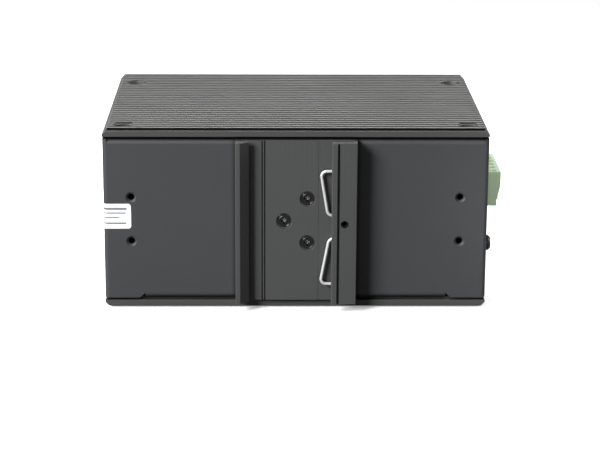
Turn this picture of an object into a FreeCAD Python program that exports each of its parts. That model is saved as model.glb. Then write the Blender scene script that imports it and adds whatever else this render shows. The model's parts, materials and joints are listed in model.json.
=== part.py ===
import FreeCAD, Part
import math
import os

# Ten-port industrial Ethernet switch for a 35 mm rail, millimetres, lying on its lower side panel.
# The origin is the middle of the clip face that bears on the rail.
# +X is the end that points up when the unit hangs on a rail, +Y runs into the unit, away from the rail,
# and +Z is up as the unit lies. The real thing is a folded steel chassis between two ribbed
# aluminium side panels, with an extruded aluminium rail clip screwed to its rear wall.

V = FreeCAD.Vector
X_AXIS = V(1, 0, 0)
Y_AXIS = V(0, 1, 0)
Z_AXIS = V(0, 0, 1)

# ---- driving sizes: casing ----
body_height = 152.0          # along X, over the end walls
body_depth = 107.0           # along Y, rear wall to front panel
chassis_width = 65.1         # along Z, over the folded flanges
sheet = 1.2                  # steel sheet of the chassis and the front panel
bend_inner_radius = 0.5
flange_bend_radius = 0.9     # inner radius of the folded flanges
lower_flange_inset = 16.0    # from each end of the rear wall to its lower folded flange
rear_flange_depth = 12.0
end_flange_depth = 14.5      # how far the end walls' flanges reach inwards
end_flange_front_gap = 13.0  # from the front of the unit to the end of those flanges
flange_relief = 1.0
corner_slit = 0.12           # between the rear wall's upper flange and each corner
lower_relief_slope = 2.1     # width of the reliefs at the ends of its lower flange

# ---- side panels ----
rim_thickness = 2.35
pad_height = 1.0             # raised pad that keeps the rim off the chassis and leaves a dark gap
pad_inset = 2.0
pad_end_inset = 0.4
fin_height = 0.85
fin_ledge = 2.1              # flat ledge outside the first rib
fin_pitch = 3.486
rib_width = 1.7
rim_end_chamfer = 1.4
rib_end_inset = 1.75         # from each end of the unit to the ribs' ends
panel_screw_end_inset = 8.0
panel_screw_rear_inset = 8.0
panel_screw_front_inset = 20.2
panel_screw_spotface = 8.0   # ribs are cut away this wide round each screw
panel_screw_well = 7.2
panel_screw_sink = 1.2       # head below the flat between the ribs

# ---- screws and nuts ----
m3_shank = 3.0
m3_hole = 3.3
m3_head = 5.6
m3_head_recess = 6.3
thread_gap = 0.05            # radial, between a screw and its threaded hole
panel_screw_length = 8.0
clip_screw_length = 5.0
front_screw_length = 5.0
front_screw_setback = 7.0    # behind the unit's front
front_screw_inset = 9.0      # from the flanges' outer faces
cross_width = 0.8
cross_length = 2.9
cross_depth = 1.1
crown_share = 0.35           # part of the ground screw's head height that is chamfered
nut_body = 6.3
nut_height = 1.5
nut_shank = 4.2
nut_hole_gap = 0.05
nut_thread = 2.6             # bore of a nut that holds no screw

# ---- rail clip ----
clip_base = 2.2
clip_width = 47.7
clip_overhang = 0.25         # past the chassis at each end
hook_height = 5.8            # how far the hooks stand off the rail seat
hook_wall = 1.85
hook_reach = 3.5             # sloped lead-in of the fixed hook
hook_pocket = 2.35           # depth of the slot behind the fixed hook's tip
hook_slot = 2.0              # its height, for the rail's flange
hook_tip = 0.9
spring_hook_width = 9.9
spring_slot = 2.6
spring_wall = 1.65
lip_width = 2.3
lip_height = 0.8
lip_groove = 0.7
lip_groove_depth = 0.4
seat_groove_offset = 12.0
seat_groove_width = 0.5
seat_groove_land = 0.5       # between the two grooves
seat_groove_depth = 0.5
clip_screw_side = 4.6
clip_screw_spacing = 18.0
clip_edge_radius = 0.4
slot_relief = 0.12           # floor of the spring's slot below the rail seat
wire_clearance = 0.3         # from the wire at its furthest to the edge of that floor
clip_screw_sink = 0.5        # flat of the screws' heads below the rail seat

# ---- wire spring and its pin ----
wire_diameter = 1.25
wire_bend_radius = 2.0
pin_diameter = 3.0
pin_offset = 4.8             # from the outer face of the spring hook
pin_rise = 0.2               # off the clip's middle, towards +Z
pin_recess = 1.4
pin_foot = 1.2
pin_gap = 0.05
arm_reach = 4.3              # how far each arm stands out in front of the lip
arm_knee_reach = 1.4
lower_knee_reach = 1.0
upper_arm_corner = 20.5
upper_knee_rise = 0.9        # above the run that comes off the pin
upper_entry = 1.2            # how far inside the slot that run ends
lower_arm_corner = 25.5
lower_arm_knee = 8.0
upper_tail = 4.2             # how far the wire's ends reach back under the lip
upper_tail_rise = 0.2
lower_tail = 3.8
lower_tail_drop = 0.2

# ---- wall-plate fixing points ----
wall_mount_inset = 11.0      # from each end of the unit
wall_mount_spacing = 18.0

# ---- seal label ----
label_width = 10.9
label_height = 10.2
label_rise = 1.3
label_thickness = 0.15
label_corner = 1.2

# ---- ground screw ----
ground_setback = 16.5        # from the rear wall
ground_drop = 14.4           # below the middle plane
ground_head = 6.2
ground_head_height = 2.4
ground_washer = 8.0
ground_washer_thickness = 0.8
ground_screw_length = 6.0

# ---- boards ----
board_thickness = 1.6
board_end_gap = 1.6
board_rear_gap = 3.0
board_front_gap = 4.0
main_standoff = 11.9
middle_standoff = 17.4
standoff_across_flats = 5.5
standoff_gap = 1.0           # from a standoff to the folded flanges beside it
standoff_front_inset = 5.0   # from the power board's front edge to a standoff
power_board_length = 100.0
power_board_front_gap = 6.5  # from the board to the backs of the jacks
board_screw_head = 5.5
board_screw_head_height = 1.8
board_screw_length = 6.0
standoff_bore = 7.0
standoff_stud = 4.5

# ---- pluggable power connector ----
pole_count = 6
pole_pitch = 5.08
terminal_setback = 35.5      # rear wall to the middle of the connector
plug_length = 18.2
plug_height = 14.3
plug_proud = 7.3             # how far the plug stands out of the end wall
plug_nose_length = 7.4
plug_nose_height = 6.2
plug_nose_rise = 1.2
plug_foot_step = 1.35        # how far the foot of the plug's face is set back
plug_foot_height = 1.2
plug_lower_step = 1.5
plug_lower_slope = 1.0
plug_lower_height = 6.5
plug_lip_step = 0.4
plug_lip_slope = 2.0
plug_clamp_width = 3.9
plug_clamp_height = 4.6
plug_clamp_depth = 4.2
plug_clamp_wall = 0.7
plug_clamp_drop = 1.4        # middle of the clamps below the top of the plug's lower face
plug_entry = 2.9
plug_screw_hole = 3.1
plug_screw_head = 2.9
plug_screw_setback = 3.0     # from the plug's outer face
plug_screw_sink = 1.2
plug_screw_reach = 1.6
plug_screw_slot = 0.7
plug_screw_slot_depth = 0.8
plug_gap = 0.1
header_height = 8.6
header_wall = 1.1
header_floor = 2.2           # behind the plug's nose
header_pin = 1.0
header_pin_foot = 3.0        # below the power board's upper face
header_pin_reach = 1.0       # past the plug's shoulder
cutout_gap = 0.5

# ---- port jacks ----
jack_columns = 4
jack_pitch = 17.5
jack_width = 15.6
jack_height = 25.6
jack_depth = 22.0
jack_bank_offset = 5.2       # middle of the four jacks, from the middle of the unit
single_jack_height = 13.2
console_offset = 53.5
shield = 0.3
port_width = 11.9
port_height = 7.0
port_depth = 15.0
port_wall = 1.9              # shelf between the contact side of a port and the jack's middle
latch_slot_width = 6.4
latch_slot_height = 1.6
latch_key_width = 3.4
latch_key_height = 1.2
latch_slot_back = 4.0        # the slots stop this far from the back of the port
latch_key_back = 6.0
console_port_floor = 1.4     # below the contacts of the single jack
panel_recess = 0.3           # jack faces sit this far behind the panel's outer face
panel_gap = 0.25
contact_count = 8
contact_pitch = 1.02
contact_width = 0.45
contact_thickness = 0.3
contact_droop = 1.7
contact_run = 8.5
contact_foot = 2.0           # length behind the port
contact_tip_gap = 1.6
contact_bend = 1.4

# ---- pluggable optics cages ----
cage_count = 2
cage_pitch = 16.4
cage_width = 14.25
cage_height = 9.8
cage_length = 48.7
cage_sheet = 0.3
cage_offset = -49.5          # middle of the pair
cage_socket_width = 11.6
cage_socket_height = 5.6
cage_socket_length = 8.8
cage_socket_slot = 1.2
cage_socket_setback = 2.0
cage_socket_wall = 1.0
cage_socket_back = 2.5
cage_floor_margin = 3.0      # open floor in front of the socket

# ---- indicator board ----
indicator_length = 34.0
indicator_end_gap = 5.8      # from the end wall
indicator_jack_gap = 1.45    # above the jacks
indicator_top_gap = 3.35     # below the front panel's upper flange
indicator_setback = 7.0      # board face behind the panel's inner face
led_columns = 5
led_rows = 2
led_pitch_x = 5.4
led_pitch_z = 6.0
led_shift = -2.6
led_diameter = 3.0
led_flange = 3.8
led_flange_height = 1.0
led_hole_gap = 0.15
led_sink = 0.3
stud_diameter = 4.0
stud_end_inset = 3.0

# ---- reset button ----
switch_body = 6.0
switch_plate = 0.4
switch_dome_room = 1.5       # for the snap dome below the pressed button
button_diameter = 3.0
button_gap = 0.3
button_sink = 0.8
button_collar = 4.0
button_collar_height = 0.8
button_travel = 0.4
button_rest_gap = 0.03       # between the collar and the switch's cover at rest
button_chamfer = 0.3
reset_column_offset = 13.5   # from the indicator board's middle

# ---- parts on the boards ----
chip_size = 27.0
chip_height = 1.4
pad_thickness = 0.5
heat_block_size = 34.0
heat_block_chamfer = 0.8
processor_size = 17.0
processor_height = 1.4
processor_gap = 4.0          # beside the power board's edge above it
processor_setback = 22.0     # from the boards' rear edge
memory_length = 14.0
memory_width = 8.5
memory_height = 1.1
memory_pitch = 16.0
memory_gap = 2.5             # from the processor
link_rows = 10
link_pitch = 2.54
link_width = 5.0
link_socket_height = 8.5
link_pin = 0.64
link_block = 2.5
link_floor = 2.0             # bottom of the socket's holes
link_pin_gap = 1.0
link_offset = 27.0           # from the power board's end
link_front_inset = 8.0
transformer_length = 22.0
transformer_width = 18.0
transformer_height = 15.0
transformer_leg = 4.5
transformer_yoke = 2.5
transformer_offset = 28.0
transformer_setback = 46.0
winding_diameter = 14.5
choke_diameter = 16.0
choke_bore = 7.0
choke_height = 8.0
choke_chamfer = 1.2
choke_offset = 52.0
choke_setback = 16.0
input_can_diameter = 12.5
input_can_height = 21.0
input_can_gap = 3.0
input_can_offset = 18.0
input_can_setback = 16.0
output_can_diameter = 8.0
output_can_height = 12.0
output_can_gap = 2.5
output_can_offset = 48.0
output_can_front_inset = 24.0
can_chamfer = 0.5
relay_length = 20.0
relay_width = 10.0
relay_height = 11.0
relay_gap = 8.0              # behind the connector's header
relay_front_inset = 8.0
relay_chamfer = 0.5
fuse_length = 10.0
fuse_diameter = 4.2          # over the caps
fuse_glass_diameter = 3.0
fuse_cap = 2.2
fuse_pitch = 8.0
fuse_offset = 68.0
fuse_setback = 18.0

# ---- places worked out from the sizes above ----
rear_y = clip_base
front_y = rear_y + body_depth
half_height = body_height / 2
chassis_half = chassis_width / 2
rim_inner_z = chassis_half + pad_height
rim_outer_z = rim_inner_z + rim_thickness
crest_z = rim_outer_z + fin_height
bend_outer_radius = bend_inner_radius + sheet
wall_inner_x = half_height - sheet
main_bottom_z = -chassis_half + main_standoff
main_top_z = main_bottom_z + board_thickness
power_bottom_z = main_top_z + middle_standoff
power_top_z = power_bottom_z + board_thickness
board_rear_y = rear_y + sheet + board_rear_gap
main_front_y = front_y - sheet - board_front_gap
main_half_x = wall_inner_x - board_end_gap
power_end_x = main_half_x
power_start_x = power_end_x - power_board_length
jack_face_y = front_y - panel_recess
power_front_y = jack_face_y - jack_depth - power_board_front_gap
clip_length = chassis_width + 2 * clip_overhang
wall_mount_width = body_height - 2 * wall_mount_inset
terminal_y = rear_y + terminal_setback
plug_bottom_z = power_top_z
plug_face_x = half_height + plug_proud
plug_back_x = plug_face_x - plug_length
plug_shoulder_x = plug_back_x + plug_nose_length
plug_half_y = pole_count * pole_pitch / 2
header_back_x = plug_back_x - plug_gap - header_floor
lip_x = clip_width / 2 - spring_hook_width
pin_x = clip_width / 2 - pin_offset
wire_y = -spring_slot / 2
standoff_radius = standoff_across_flats / math.sqrt(3)
indicator_face_y = front_y - sheet - indicator_setback
indicator_low_z = main_top_z + jack_height + indicator_jack_gap
indicator_high_z = chassis_half - sheet - indicator_top_gap
indicator_width = indicator_high_z - indicator_low_z
indicator_rise = (indicator_high_z + indicator_low_z) / 2
indicator_offset = wall_inner_x - indicator_end_gap - indicator_length / 2
switch_height = 2 * switch_plate + switch_dome_room + button_travel + button_collar_height


def box(x0, x1, y0, y1, z0, z1):
    """Block between two corners, given in any order along each axis."""
    low = V(min(x0, x1), min(y0, y1), min(z0, z1))
    return Part.makeBox(abs(x1 - x0), abs(y1 - y0), abs(z1 - z0), low)


def rod(centre, direction, diameter, length):
    """Round bar that starts at centre and runs along direction."""
    return Part.makeCylinder(diameter / 2, length, centre, direction)


def prism(points, run):
    """Solid from a closed outline of points, pushed along the vector run."""
    outline = Part.makePolygon([V(*point) for point in points] + [V(*points[0])])
    return Part.Face(outline).extrude(run)


def turned_towards(shape, place, direction):
    """Moves a shape drawn up the Z axis so that it starts at place and points along direction."""
    moved = shape.copy()
    moved.Placement = FreeCAD.Placement(place, FreeCAD.Rotation(Z_AXIS, direction))
    return moved


def write(name, shape):
    """Writes one node, which may be several separate solids."""
    solids = shape if isinstance(shape, list) else [shape]
    solids = [piece for solid in solids for piece in solid.Solids]
    result = solids[0] if len(solids) == 1 else Part.makeCompound(solids)
    result.exportStep("parts/" + name + ".step")
    print(name, len(solids), "solid(s)", round(sum(solid.Volume for solid in solids), 1), "mm3")


def cross_recess():
    """Cross-shaped driver recess, drawn down into +Z from the head's flat face."""
    half_length = cross_length / 2
    half_width = cross_width / 2
    one = box(-half_length, half_length, -half_width, half_width, 0, cross_depth)
    other = box(-half_width, half_width, -half_length, half_length, 0, cross_depth)
    return one.fuse(other)


def countersunk_screw(place, inward, length):
    """M3 flat-head screw whose flat face is at place and whose tip points inward."""
    head_depth = (m3_head - m3_shank) / 2
    head = Part.makeCone(m3_head / 2, m3_shank / 2, head_depth)
    shank = Part.makeCylinder(m3_shank / 2, length)
    screw = head.fuse(shank).removeSplitter().cut(cross_recess())
    return turned_towards(screw, place, inward)


def countersunk_hole(place, inward, depth):
    """Tool for the seat of that screw: a cone as wide as the head, then a straight hole."""
    seat_depth = (m3_head - m3_shank) / 2
    seat = Part.makeCone(m3_head / 2, m3_shank / 2, seat_depth)
    hole = Part.makeCylinder(m3_shank / 2 + thread_gap, depth)
    return turned_towards(seat.fuse(hole), place, inward)


def board_screw(x, y, level):
    """Cylinder-head screw that clamps a board down on its standoff."""
    head = rod(V(x, y, level), Z_AXIS, board_screw_head, board_screw_head_height)
    shank = rod(V(x, y, level), Z_AXIS * -1, m3_shank, board_screw_length)
    return head.fuse(shank)


def clinch_nut(place, inward, bore):
    """Self-clinching nut pressed in from inside: a shank in the sheet and a collar behind it."""
    collar = Part.makeCylinder(nut_body / 2, nut_height, V(0, 0, sheet))
    shank = Part.makeCylinder(nut_shank / 2, sheet)
    thread = Part.makeCylinder(bore / 2, sheet + nut_height)
    return turned_towards(collar.fuse(shank).cut(thread), place, inward)


# ---- where the fasteners go ----
def panel_screw_places():
    """X and Y of the four screws that hold one side panel."""
    screw_x = half_height - panel_screw_end_inset
    rows = (rear_y + panel_screw_rear_inset, front_y - panel_screw_front_inset)
    return [(side * screw_x, y) for side in (-1, 1) for y in rows]


def wall_mount_places():
    """X and Z of the four nuts for the wall plates."""
    return [(side * wall_mount_width / 2, end * wall_mount_spacing / 2) for side in (-1, 1) for end in (-1, 1)]


def clip_screw_places():
    """X and Z of the three clip screws."""
    pair = [(clip_screw_side, end * clip_screw_spacing / 2) for end in (-1, 1)]
    return pair + [(-clip_screw_side, 0.0)]


def front_screw_places():
    """Y and Z of the two screws through each end wall into the front panel's flanges."""
    return [(front_y - front_screw_setback, end * (chassis_half - front_screw_inset)) for end in (-1, 1)]


def standoff_rows():
    """Y of the two rows of standoffs, clear of the rear wall's flanges."""
    near = rear_y + rear_flange_depth + standoff_gap + standoff_radius
    return [near, power_front_y - standoff_front_inset]


def stack_places():
    """X and Y of the standoffs that carry both boards."""
    left = power_start_x + standoff_front_inset
    right = half_height - end_flange_depth - standoff_gap - standoff_radius
    return [(x, y) for x in (left, right) for y in standoff_rows()]


def outer_stack_places():
    """X and Y of the two standoffs that carry the main board alone, the second behind the cages."""
    x = -half_height + end_flange_depth + standoff_gap + standoff_radius
    behind_cages = jack_face_y - cage_length - standoff_gap - board_screw_head / 2
    return [(x, standoff_rows()[0]), (x, behind_cages)]


# ---- chassis ----
def folded_flange(start, run_axis, run_length, wall_axis, reach, up):
    """A flange folded inwards from a wall: a quarter bend and a flat, swept along the fold.

    start is on the outer face of the wall, level with the flange's outer face; wall_axis points
    into the unit and up is +1 or -1 for the side that the flange closes."""
    outer = flange_bend_radius + sheet
    bend_centre = start + wall_axis * outer + Z_AXIS * (-up * outer)
    half = math.sqrt(0.5)

    def on_bend(radius, along_wall, along_up):
        return bend_centre + wall_axis * (-radius * along_wall) + Z_AXIS * (up * radius * along_up)

    inner = flange_bend_radius
    outer_arc = Part.Arc(on_bend(outer, 1, 0), on_bend(outer, half, half), on_bend(outer, 0, 1))
    inner_arc = Part.Arc(on_bend(inner, 0, 1), on_bend(inner, half, half), on_bend(inner, 1, 0))
    tip_outer = start + wall_axis * reach
    tip_inner = tip_outer + Z_AXIS * (-up * sheet)
    edges = [
        outer_arc.toShape(),
        Part.LineSegment(on_bend(outer, 0, 1), tip_outer).toShape(),
        Part.LineSegment(tip_outer, tip_inner).toShape(),
        Part.LineSegment(tip_inner, on_bend(inner, 0, 1)).toShape(),
        inner_arc.toShape(),
        Part.LineSegment(on_bend(inner, 1, 0), on_bend(outer, 1, 0)).toShape(),
    ]
    return Part.Face(Part.Wire(edges)).extrude(run_axis * run_length)


def chassis_walls():
    """Rear wall and both end walls as one bent strip, as high as the flanges' outer faces."""
    wall_front = front_y
    outside = box(-half_height, half_height, rear_y, wall_front, -chassis_half, chassis_half)
    inside = box(-wall_inner_x, wall_inner_x, rear_y + sheet, wall_front + 1, -chassis_half, chassis_half)

    def upright_corner_edges(block, y):
        return [e for e in block.Edges if e.Length > chassis_width - 0.01
                and abs(e.CenterOfMass.y - y) < 0.01 and abs(e.CenterOfMass.z) < 0.01]

    outside = outside.makeFillet(bend_outer_radius, upright_corner_edges(outside, rear_y))
    inside = inside.makeFillet(bend_inner_radius, upright_corner_edges(inside, rear_y + sheet))
    return outside.cut(inside)


def chassis_shell():
    """Folded chassis with its flanges, holes and the cut-out for the power connector."""
    shell = chassis_walls()
    bend = flange_bend_radius + sheet
    # the upper rear flange runs to the corners and the lower one stops beside the end walls' flanges
    flange_halves = {1: half_height - bend_outer_radius - corner_slit, -1: half_height - lower_flange_inset}
    end_starts = {1: rear_y + rear_flange_depth + flange_relief, -1: rear_y + bend_outer_radius + flange_relief}
    for up in (-1, 1):
        flange_half = flange_halves[up]
        end_start = end_starts[up]
        end_length = front_y - end_flange_front_gap - end_start
        level = up * chassis_half
        bend_level = level - up * bend
        shell = shell.cut(box(-flange_half, flange_half, rear_y - 1, rear_y + sheet + 1, bend_level, level + up))
        flange = folded_flange(V(-flange_half, rear_y, level), X_AXIS, 2 * flange_half, Y_AXIS, rear_flange_depth, up)
        shell = shell.fuse(flange)
        for side in (-1, 1):
            wall_x = side * half_height
            inner_x = side * (wall_inner_x - 1)
            shell = shell.cut(box(inner_x, wall_x + side, end_start, end_start + end_length, bend_level, level + up))
            flange = folded_flange(V(wall_x, end_start, level), Y_AXIS, end_length, X_AXIS * -side,
                                   end_flange_depth, up)
            shell = shell.fuse(flange)
            # past the flange the wall stops short, so that the front panel's own flange can pass
            shell = shell.cut(box(inner_x, wall_x + side, end_start + end_length, front_y + 1,
                                  level - up * flange_relief, level + up))
        # the corner reliefs at both ends of each rear flange slope back to the plain edge
        relief = corner_slit if up > 0 else lower_relief_slope
        for side in (-1, 1):
            edge_x = side * flange_half
            points = [(edge_x, rear_y - 1, bend_level), (edge_x + side * relief, rear_y - 1, level),
                      (edge_x, rear_y - 1, level)]
            shell = shell.cut(prism(points, Y_AXIS * (sheet + 2)))
    for x, z in wall_mount_places() + clip_screw_places():
        shell = shell.cut(rod(V(x, rear_y - 1, z), Y_AXIS, nut_shank + 2 * nut_hole_gap, sheet + 2))
    for x, y in panel_screw_places():
        hole = rod(V(x, y, -chassis_half - 1), Z_AXIS, m3_shank + 2 * thread_gap, chassis_width + 2)
        shell = shell.cut(hole)
    for y, z in front_screw_places():
        for side in (-1, 1):
            shell = shell.cut(countersunk_hole(V(side * half_height, y, z), X_AXIS * -side, sheet + 1))
    ground = rod(V(wall_inner_x - 1, rear_y + ground_setback, -ground_drop), X_AXIS,
                 nut_shank + 2 * nut_hole_gap, sheet + 2)
    shell = shell.cut(ground)
    opening = box(wall_inner_x - 1, half_height + 1, terminal_y - plug_half_y - cutout_gap,
                  terminal_y + plug_half_y + cutout_gap, plug_bottom_z - cutout_gap,
                  plug_bottom_z + plug_height + cutout_gap)
    return shell.cut(opening).removeSplitter()


# ---- ribbed side panels ----
def panel_profile_solid():
    """The extrusion: rim, raised inner pad and the ribs that run the length of the unit."""
    rim = box(-half_height, half_height, rear_y, front_y, rim_inner_z, rim_outer_z)
    pad = box(-half_height + pad_end_inset, half_height - pad_end_inset, rear_y + pad_inset,
              front_y - pad_inset, chassis_half, rim_inner_z)
    rib_count = int((body_depth - 2 * fin_ledge - rib_width) / fin_pitch) + 1
    first_rib = rear_y + body_depth / 2 - ((rib_count - 1) * fin_pitch + rib_width) / 2
    ribs = [
        box(-half_height + rib_end_inset, half_height - rib_end_inset, first_rib + i * fin_pitch,
            first_rib + i * fin_pitch + rib_width, rim_outer_z, crest_z)
        for i in range(rib_count)
    ]
    return rim.fuse([pad] + ribs).removeSplitter()


def side_panel():
    """Upper side panel; the lower one is the same extrusion turned over."""
    panel = panel_profile_solid()
    for side in (-1, 1):
        end_x = side * half_height
        points = [(end_x - side * rim_end_chamfer, rear_y - 1, rim_outer_z),
                  (end_x, rear_y - 1, rim_outer_z - rim_end_chamfer), (end_x, rear_y - 1, rim_outer_z)]
        panel = panel.cut(prism(points, Y_AXIS * (body_depth + 2)))
    for x, y in panel_screw_places():
        head_z = rim_outer_z - panel_screw_sink
        panel = panel.cut(rod(V(x, y, rim_outer_z), Z_AXIS, panel_screw_spotface, fin_height + 1))
        panel = panel.cut(rod(V(x, y, head_z), Z_AXIS, panel_screw_well, panel_screw_sink + 1))
        panel = panel.cut(countersunk_hole(V(x, y, head_z), Z_AXIS * -1, rim_thickness + pad_height))
    return panel


def panel_screws(up):
    """The four countersunk screws of one side panel."""
    level = up * (rim_outer_z - panel_screw_sink)
    return [countersunk_screw(V(x, y, level), Z_AXIS * -up, panel_screw_length) for x, y in panel_screw_places()]


# ---- front panel ----
def jack_centres():
    """X of the middles of the four double jacks."""
    first = jack_bank_offset - (jack_columns - 1) * jack_pitch / 2
    return [first + i * jack_pitch for i in range(jack_columns)]


def cage_centres():
    """X of the middles of the optics cages."""
    first = cage_offset - (cage_count - 1) * cage_pitch / 2
    return [first + i * cage_pitch for i in range(cage_count)]


def led_centres():
    """X and Z of the status lamps."""
    first_x = indicator_offset + led_shift - (led_columns - 1) * led_pitch_x / 2
    first_z = indicator_rise - (led_rows - 1) * led_pitch_z / 2
    return [(first_x + i * led_pitch_x, first_z + j * led_pitch_z)
            for i in range(led_columns) for j in range(led_rows)]


def panel_opening(x, width, height):
    """Tool for one port's opening: it stands on the main board's level."""
    half = width / 2 + panel_gap
    return box(x - half, x + half, front_y - sheet - 1, front_y + 1, main_top_z - panel_gap,
               main_top_z + height + panel_gap)


def front_panel():
    """Front plate with a flange folded back along each of its four sides."""
    plate_half_x = wall_inner_x - panel_gap
    plate = box(-plate_half_x, plate_half_x, front_y - sheet, front_y, -chassis_half, chassis_half)
    panel = plate
    bend = flange_bend_radius + sheet
    corner = bend + flange_relief
    depth = end_flange_front_gap - flange_relief
    for side in (-1, 1):
        face_x = side * plate_half_x
        panel = panel.cut(box(face_x - side * bend, face_x + side, front_y - sheet - 1, front_y + 1,
                              -chassis_half, chassis_half))
        panel = panel.fuse(end_wall_flange(side, face_x, corner, depth))
    for up in (-1, 1):
        level = up * chassis_half
        panel = panel.cut(box(-plate_half_x - 1, plate_half_x + 1, front_y - sheet - 1, front_y + 1,
                              level - up * bend, level + up))
        start = V(-plate_half_x + corner, front_y, level)
        length = 2 * (plate_half_x - corner)
        panel = panel.fuse(folded_flange(start, X_AXIS, length, Y_AXIS * -1, depth, up))
    for x in jack_centres():
        panel = panel.cut(panel_opening(x, jack_width, jack_height))
    panel = panel.cut(panel_opening(console_offset, jack_width, single_jack_height))
    for x in cage_centres():
        panel = panel.cut(panel_opening(x, cage_width, cage_height))
    for x, z in led_centres():
        panel = panel.cut(rod(V(x, front_y - sheet - 1, z), Y_AXIS, led_diameter + 2 * led_hole_gap, sheet + 2))
    reset_x = indicator_offset + reset_column_offset
    panel = panel.cut(rod(V(reset_x, front_y - sheet - 1, indicator_rise), Y_AXIS,
                          button_diameter + 2 * button_gap, sheet + 2))
    for y, z in front_screw_places():
        panel = panel.cut(rod(V(-half_height, y, z), X_AXIS, m3_shank + 2 * thread_gap, body_height))
    return panel.removeSplitter()


def end_wall_flange(side, face_x, corner, depth):
    """Flange of the front panel that lies inside one end wall: quarter bend and flat."""
    outer = flange_bend_radius + sheet
    inner = flange_bend_radius
    half = math.sqrt(0.5)
    low_z = -chassis_half + corner
    centre = V(face_x - side * outer, front_y - outer, low_z)

    def on_bend(radius, along_x, along_y):
        return centre + V(side * radius * along_x, radius * along_y, 0)

    tip_outer = V(face_x, front_y - depth, low_z)
    tip_inner = tip_outer + V(-side * sheet, 0, 0)
    edges = [
        Part.Arc(on_bend(outer, 0, 1), on_bend(outer, half, half), on_bend(outer, 1, 0)).toShape(),
        Part.LineSegment(on_bend(outer, 1, 0), tip_outer).toShape(),
        Part.LineSegment(tip_outer, tip_inner).toShape(),
        Part.LineSegment(tip_inner, on_bend(inner, 1, 0)).toShape(),
        Part.Arc(on_bend(inner, 1, 0), on_bend(inner, half, half), on_bend(inner, 0, 1)).toShape(),
        Part.LineSegment(on_bend(inner, 0, 1), on_bend(outer, 0, 1)).toShape(),
    ]
    return Part.Face(Part.Wire(edges)).extrude(Z_AXIS * (chassis_width - 2 * corner))


# ---- rail clip ----
def din_clip():
    """Aluminium extrusion: a fixed hook, the rail seat and a wider hook with a slot for the spring."""
    edge_x = clip_width / 2
    crest_y = -hook_height
    tip_x = -edge_x + hook_wall + hook_reach
    pocket_x = tip_x - hook_pocket
    lip_y = crest_y - lip_height
    slot_x = edge_x - spring_wall
    seat_end_x = lip_x - arm_reach - wire_diameter / 2 - wire_clearance
    groove_x = lip_x + lip_width
    points = [
        (-edge_x, clip_base), (-edge_x, crest_y), (-edge_x + hook_wall, crest_y),
        (tip_x, -hook_slot - hook_tip), (tip_x, -hook_slot), (pocket_x, -hook_slot), (pocket_x, 0.0),
    ]
    for start_x in (-seat_groove_offset - 2 * seat_groove_width - seat_groove_land,
                    -seat_groove_offset - seat_groove_width):
        end_x = start_x + seat_groove_width
        points += [(start_x, 0.0), (start_x, seat_groove_depth), (end_x, seat_groove_depth), (end_x, 0.0)]
    points += [
        (seat_end_x, 0.0), (seat_end_x, slot_relief), (slot_x, slot_relief),
        (slot_x, -spring_slot), (lip_x, -spring_slot), (lip_x, lip_y),
        (groove_x, lip_y), (groove_x, crest_y + lip_groove_depth),
        (groove_x + lip_groove, crest_y + lip_groove_depth), (groove_x + lip_groove, crest_y),
        (edge_x, crest_y), (edge_x, clip_base),
    ]
    half_length = clip_length / 2
    clip = prism([(x, y, -half_length) for x, y in points], Z_AXIS * clip_length)
    rounded = []
    for edge in clip.Edges:
        middle = edge.CenterOfMass
        long_edge = edge.Length > clip_length - 0.01
        outer_corner = abs(abs(middle.x) - edge_x) < 0.01 and middle.y < 0
        lip_corner = abs(middle.y - lip_y) < 0.01
        if long_edge and (outer_corner or lip_corner):
            rounded.append(edge)
    clip = clip.makeFillet(clip_edge_radius, rounded)
    for x, z in clip_screw_places():
        clip = clip.cut(countersunk_hole(V(x, clip_screw_sink, z), Y_AXIS, clip_base + 1))
        clip = clip.cut(rod(V(x, -1, z), Y_AXIS, m3_head_recess, 1 + clip_screw_sink))
    pin_hole = rod(V(pin_x, crest_y - 1, pin_rise), Y_AXIS, pin_diameter + 2 * pin_gap, hook_height + 1 + pin_foot)
    return clip.cut(pin_hole)


def clip_screws():
    """Three flat-head screws that hold the clip to the rear wall."""
    return [countersunk_screw(V(x, clip_screw_sink, z), Y_AXIS, clip_screw_length) for x, z in clip_screw_places()]


def rounded_route(points, radius):
    """Wire of straight runs joined by tangent arcs at every inner point."""
    edges = []
    start = points[0]
    for before, corner, after in zip(points, points[1:], points[2:]):
        back = (before - corner).normalize()
        ahead = (after - corner).normalize()
        half_angle = back.getAngle(ahead) / 2
        setback = radius / math.tan(half_angle)
        bisector = (back + ahead).normalize()
        centre = corner + bisector * (radius / math.sin(half_angle))
        arc_start = corner + back * setback
        arc_end = corner + ahead * setback
        edges.append(Part.LineSegment(start, arc_start).toShape())
        edges.append(Part.Arc(arc_start, centre - bisector * radius, arc_end).toShape())
        start = arc_end
    edges.append(Part.LineSegment(start, points[-1]).toShape())
    return Part.Wire(edges)


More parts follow.
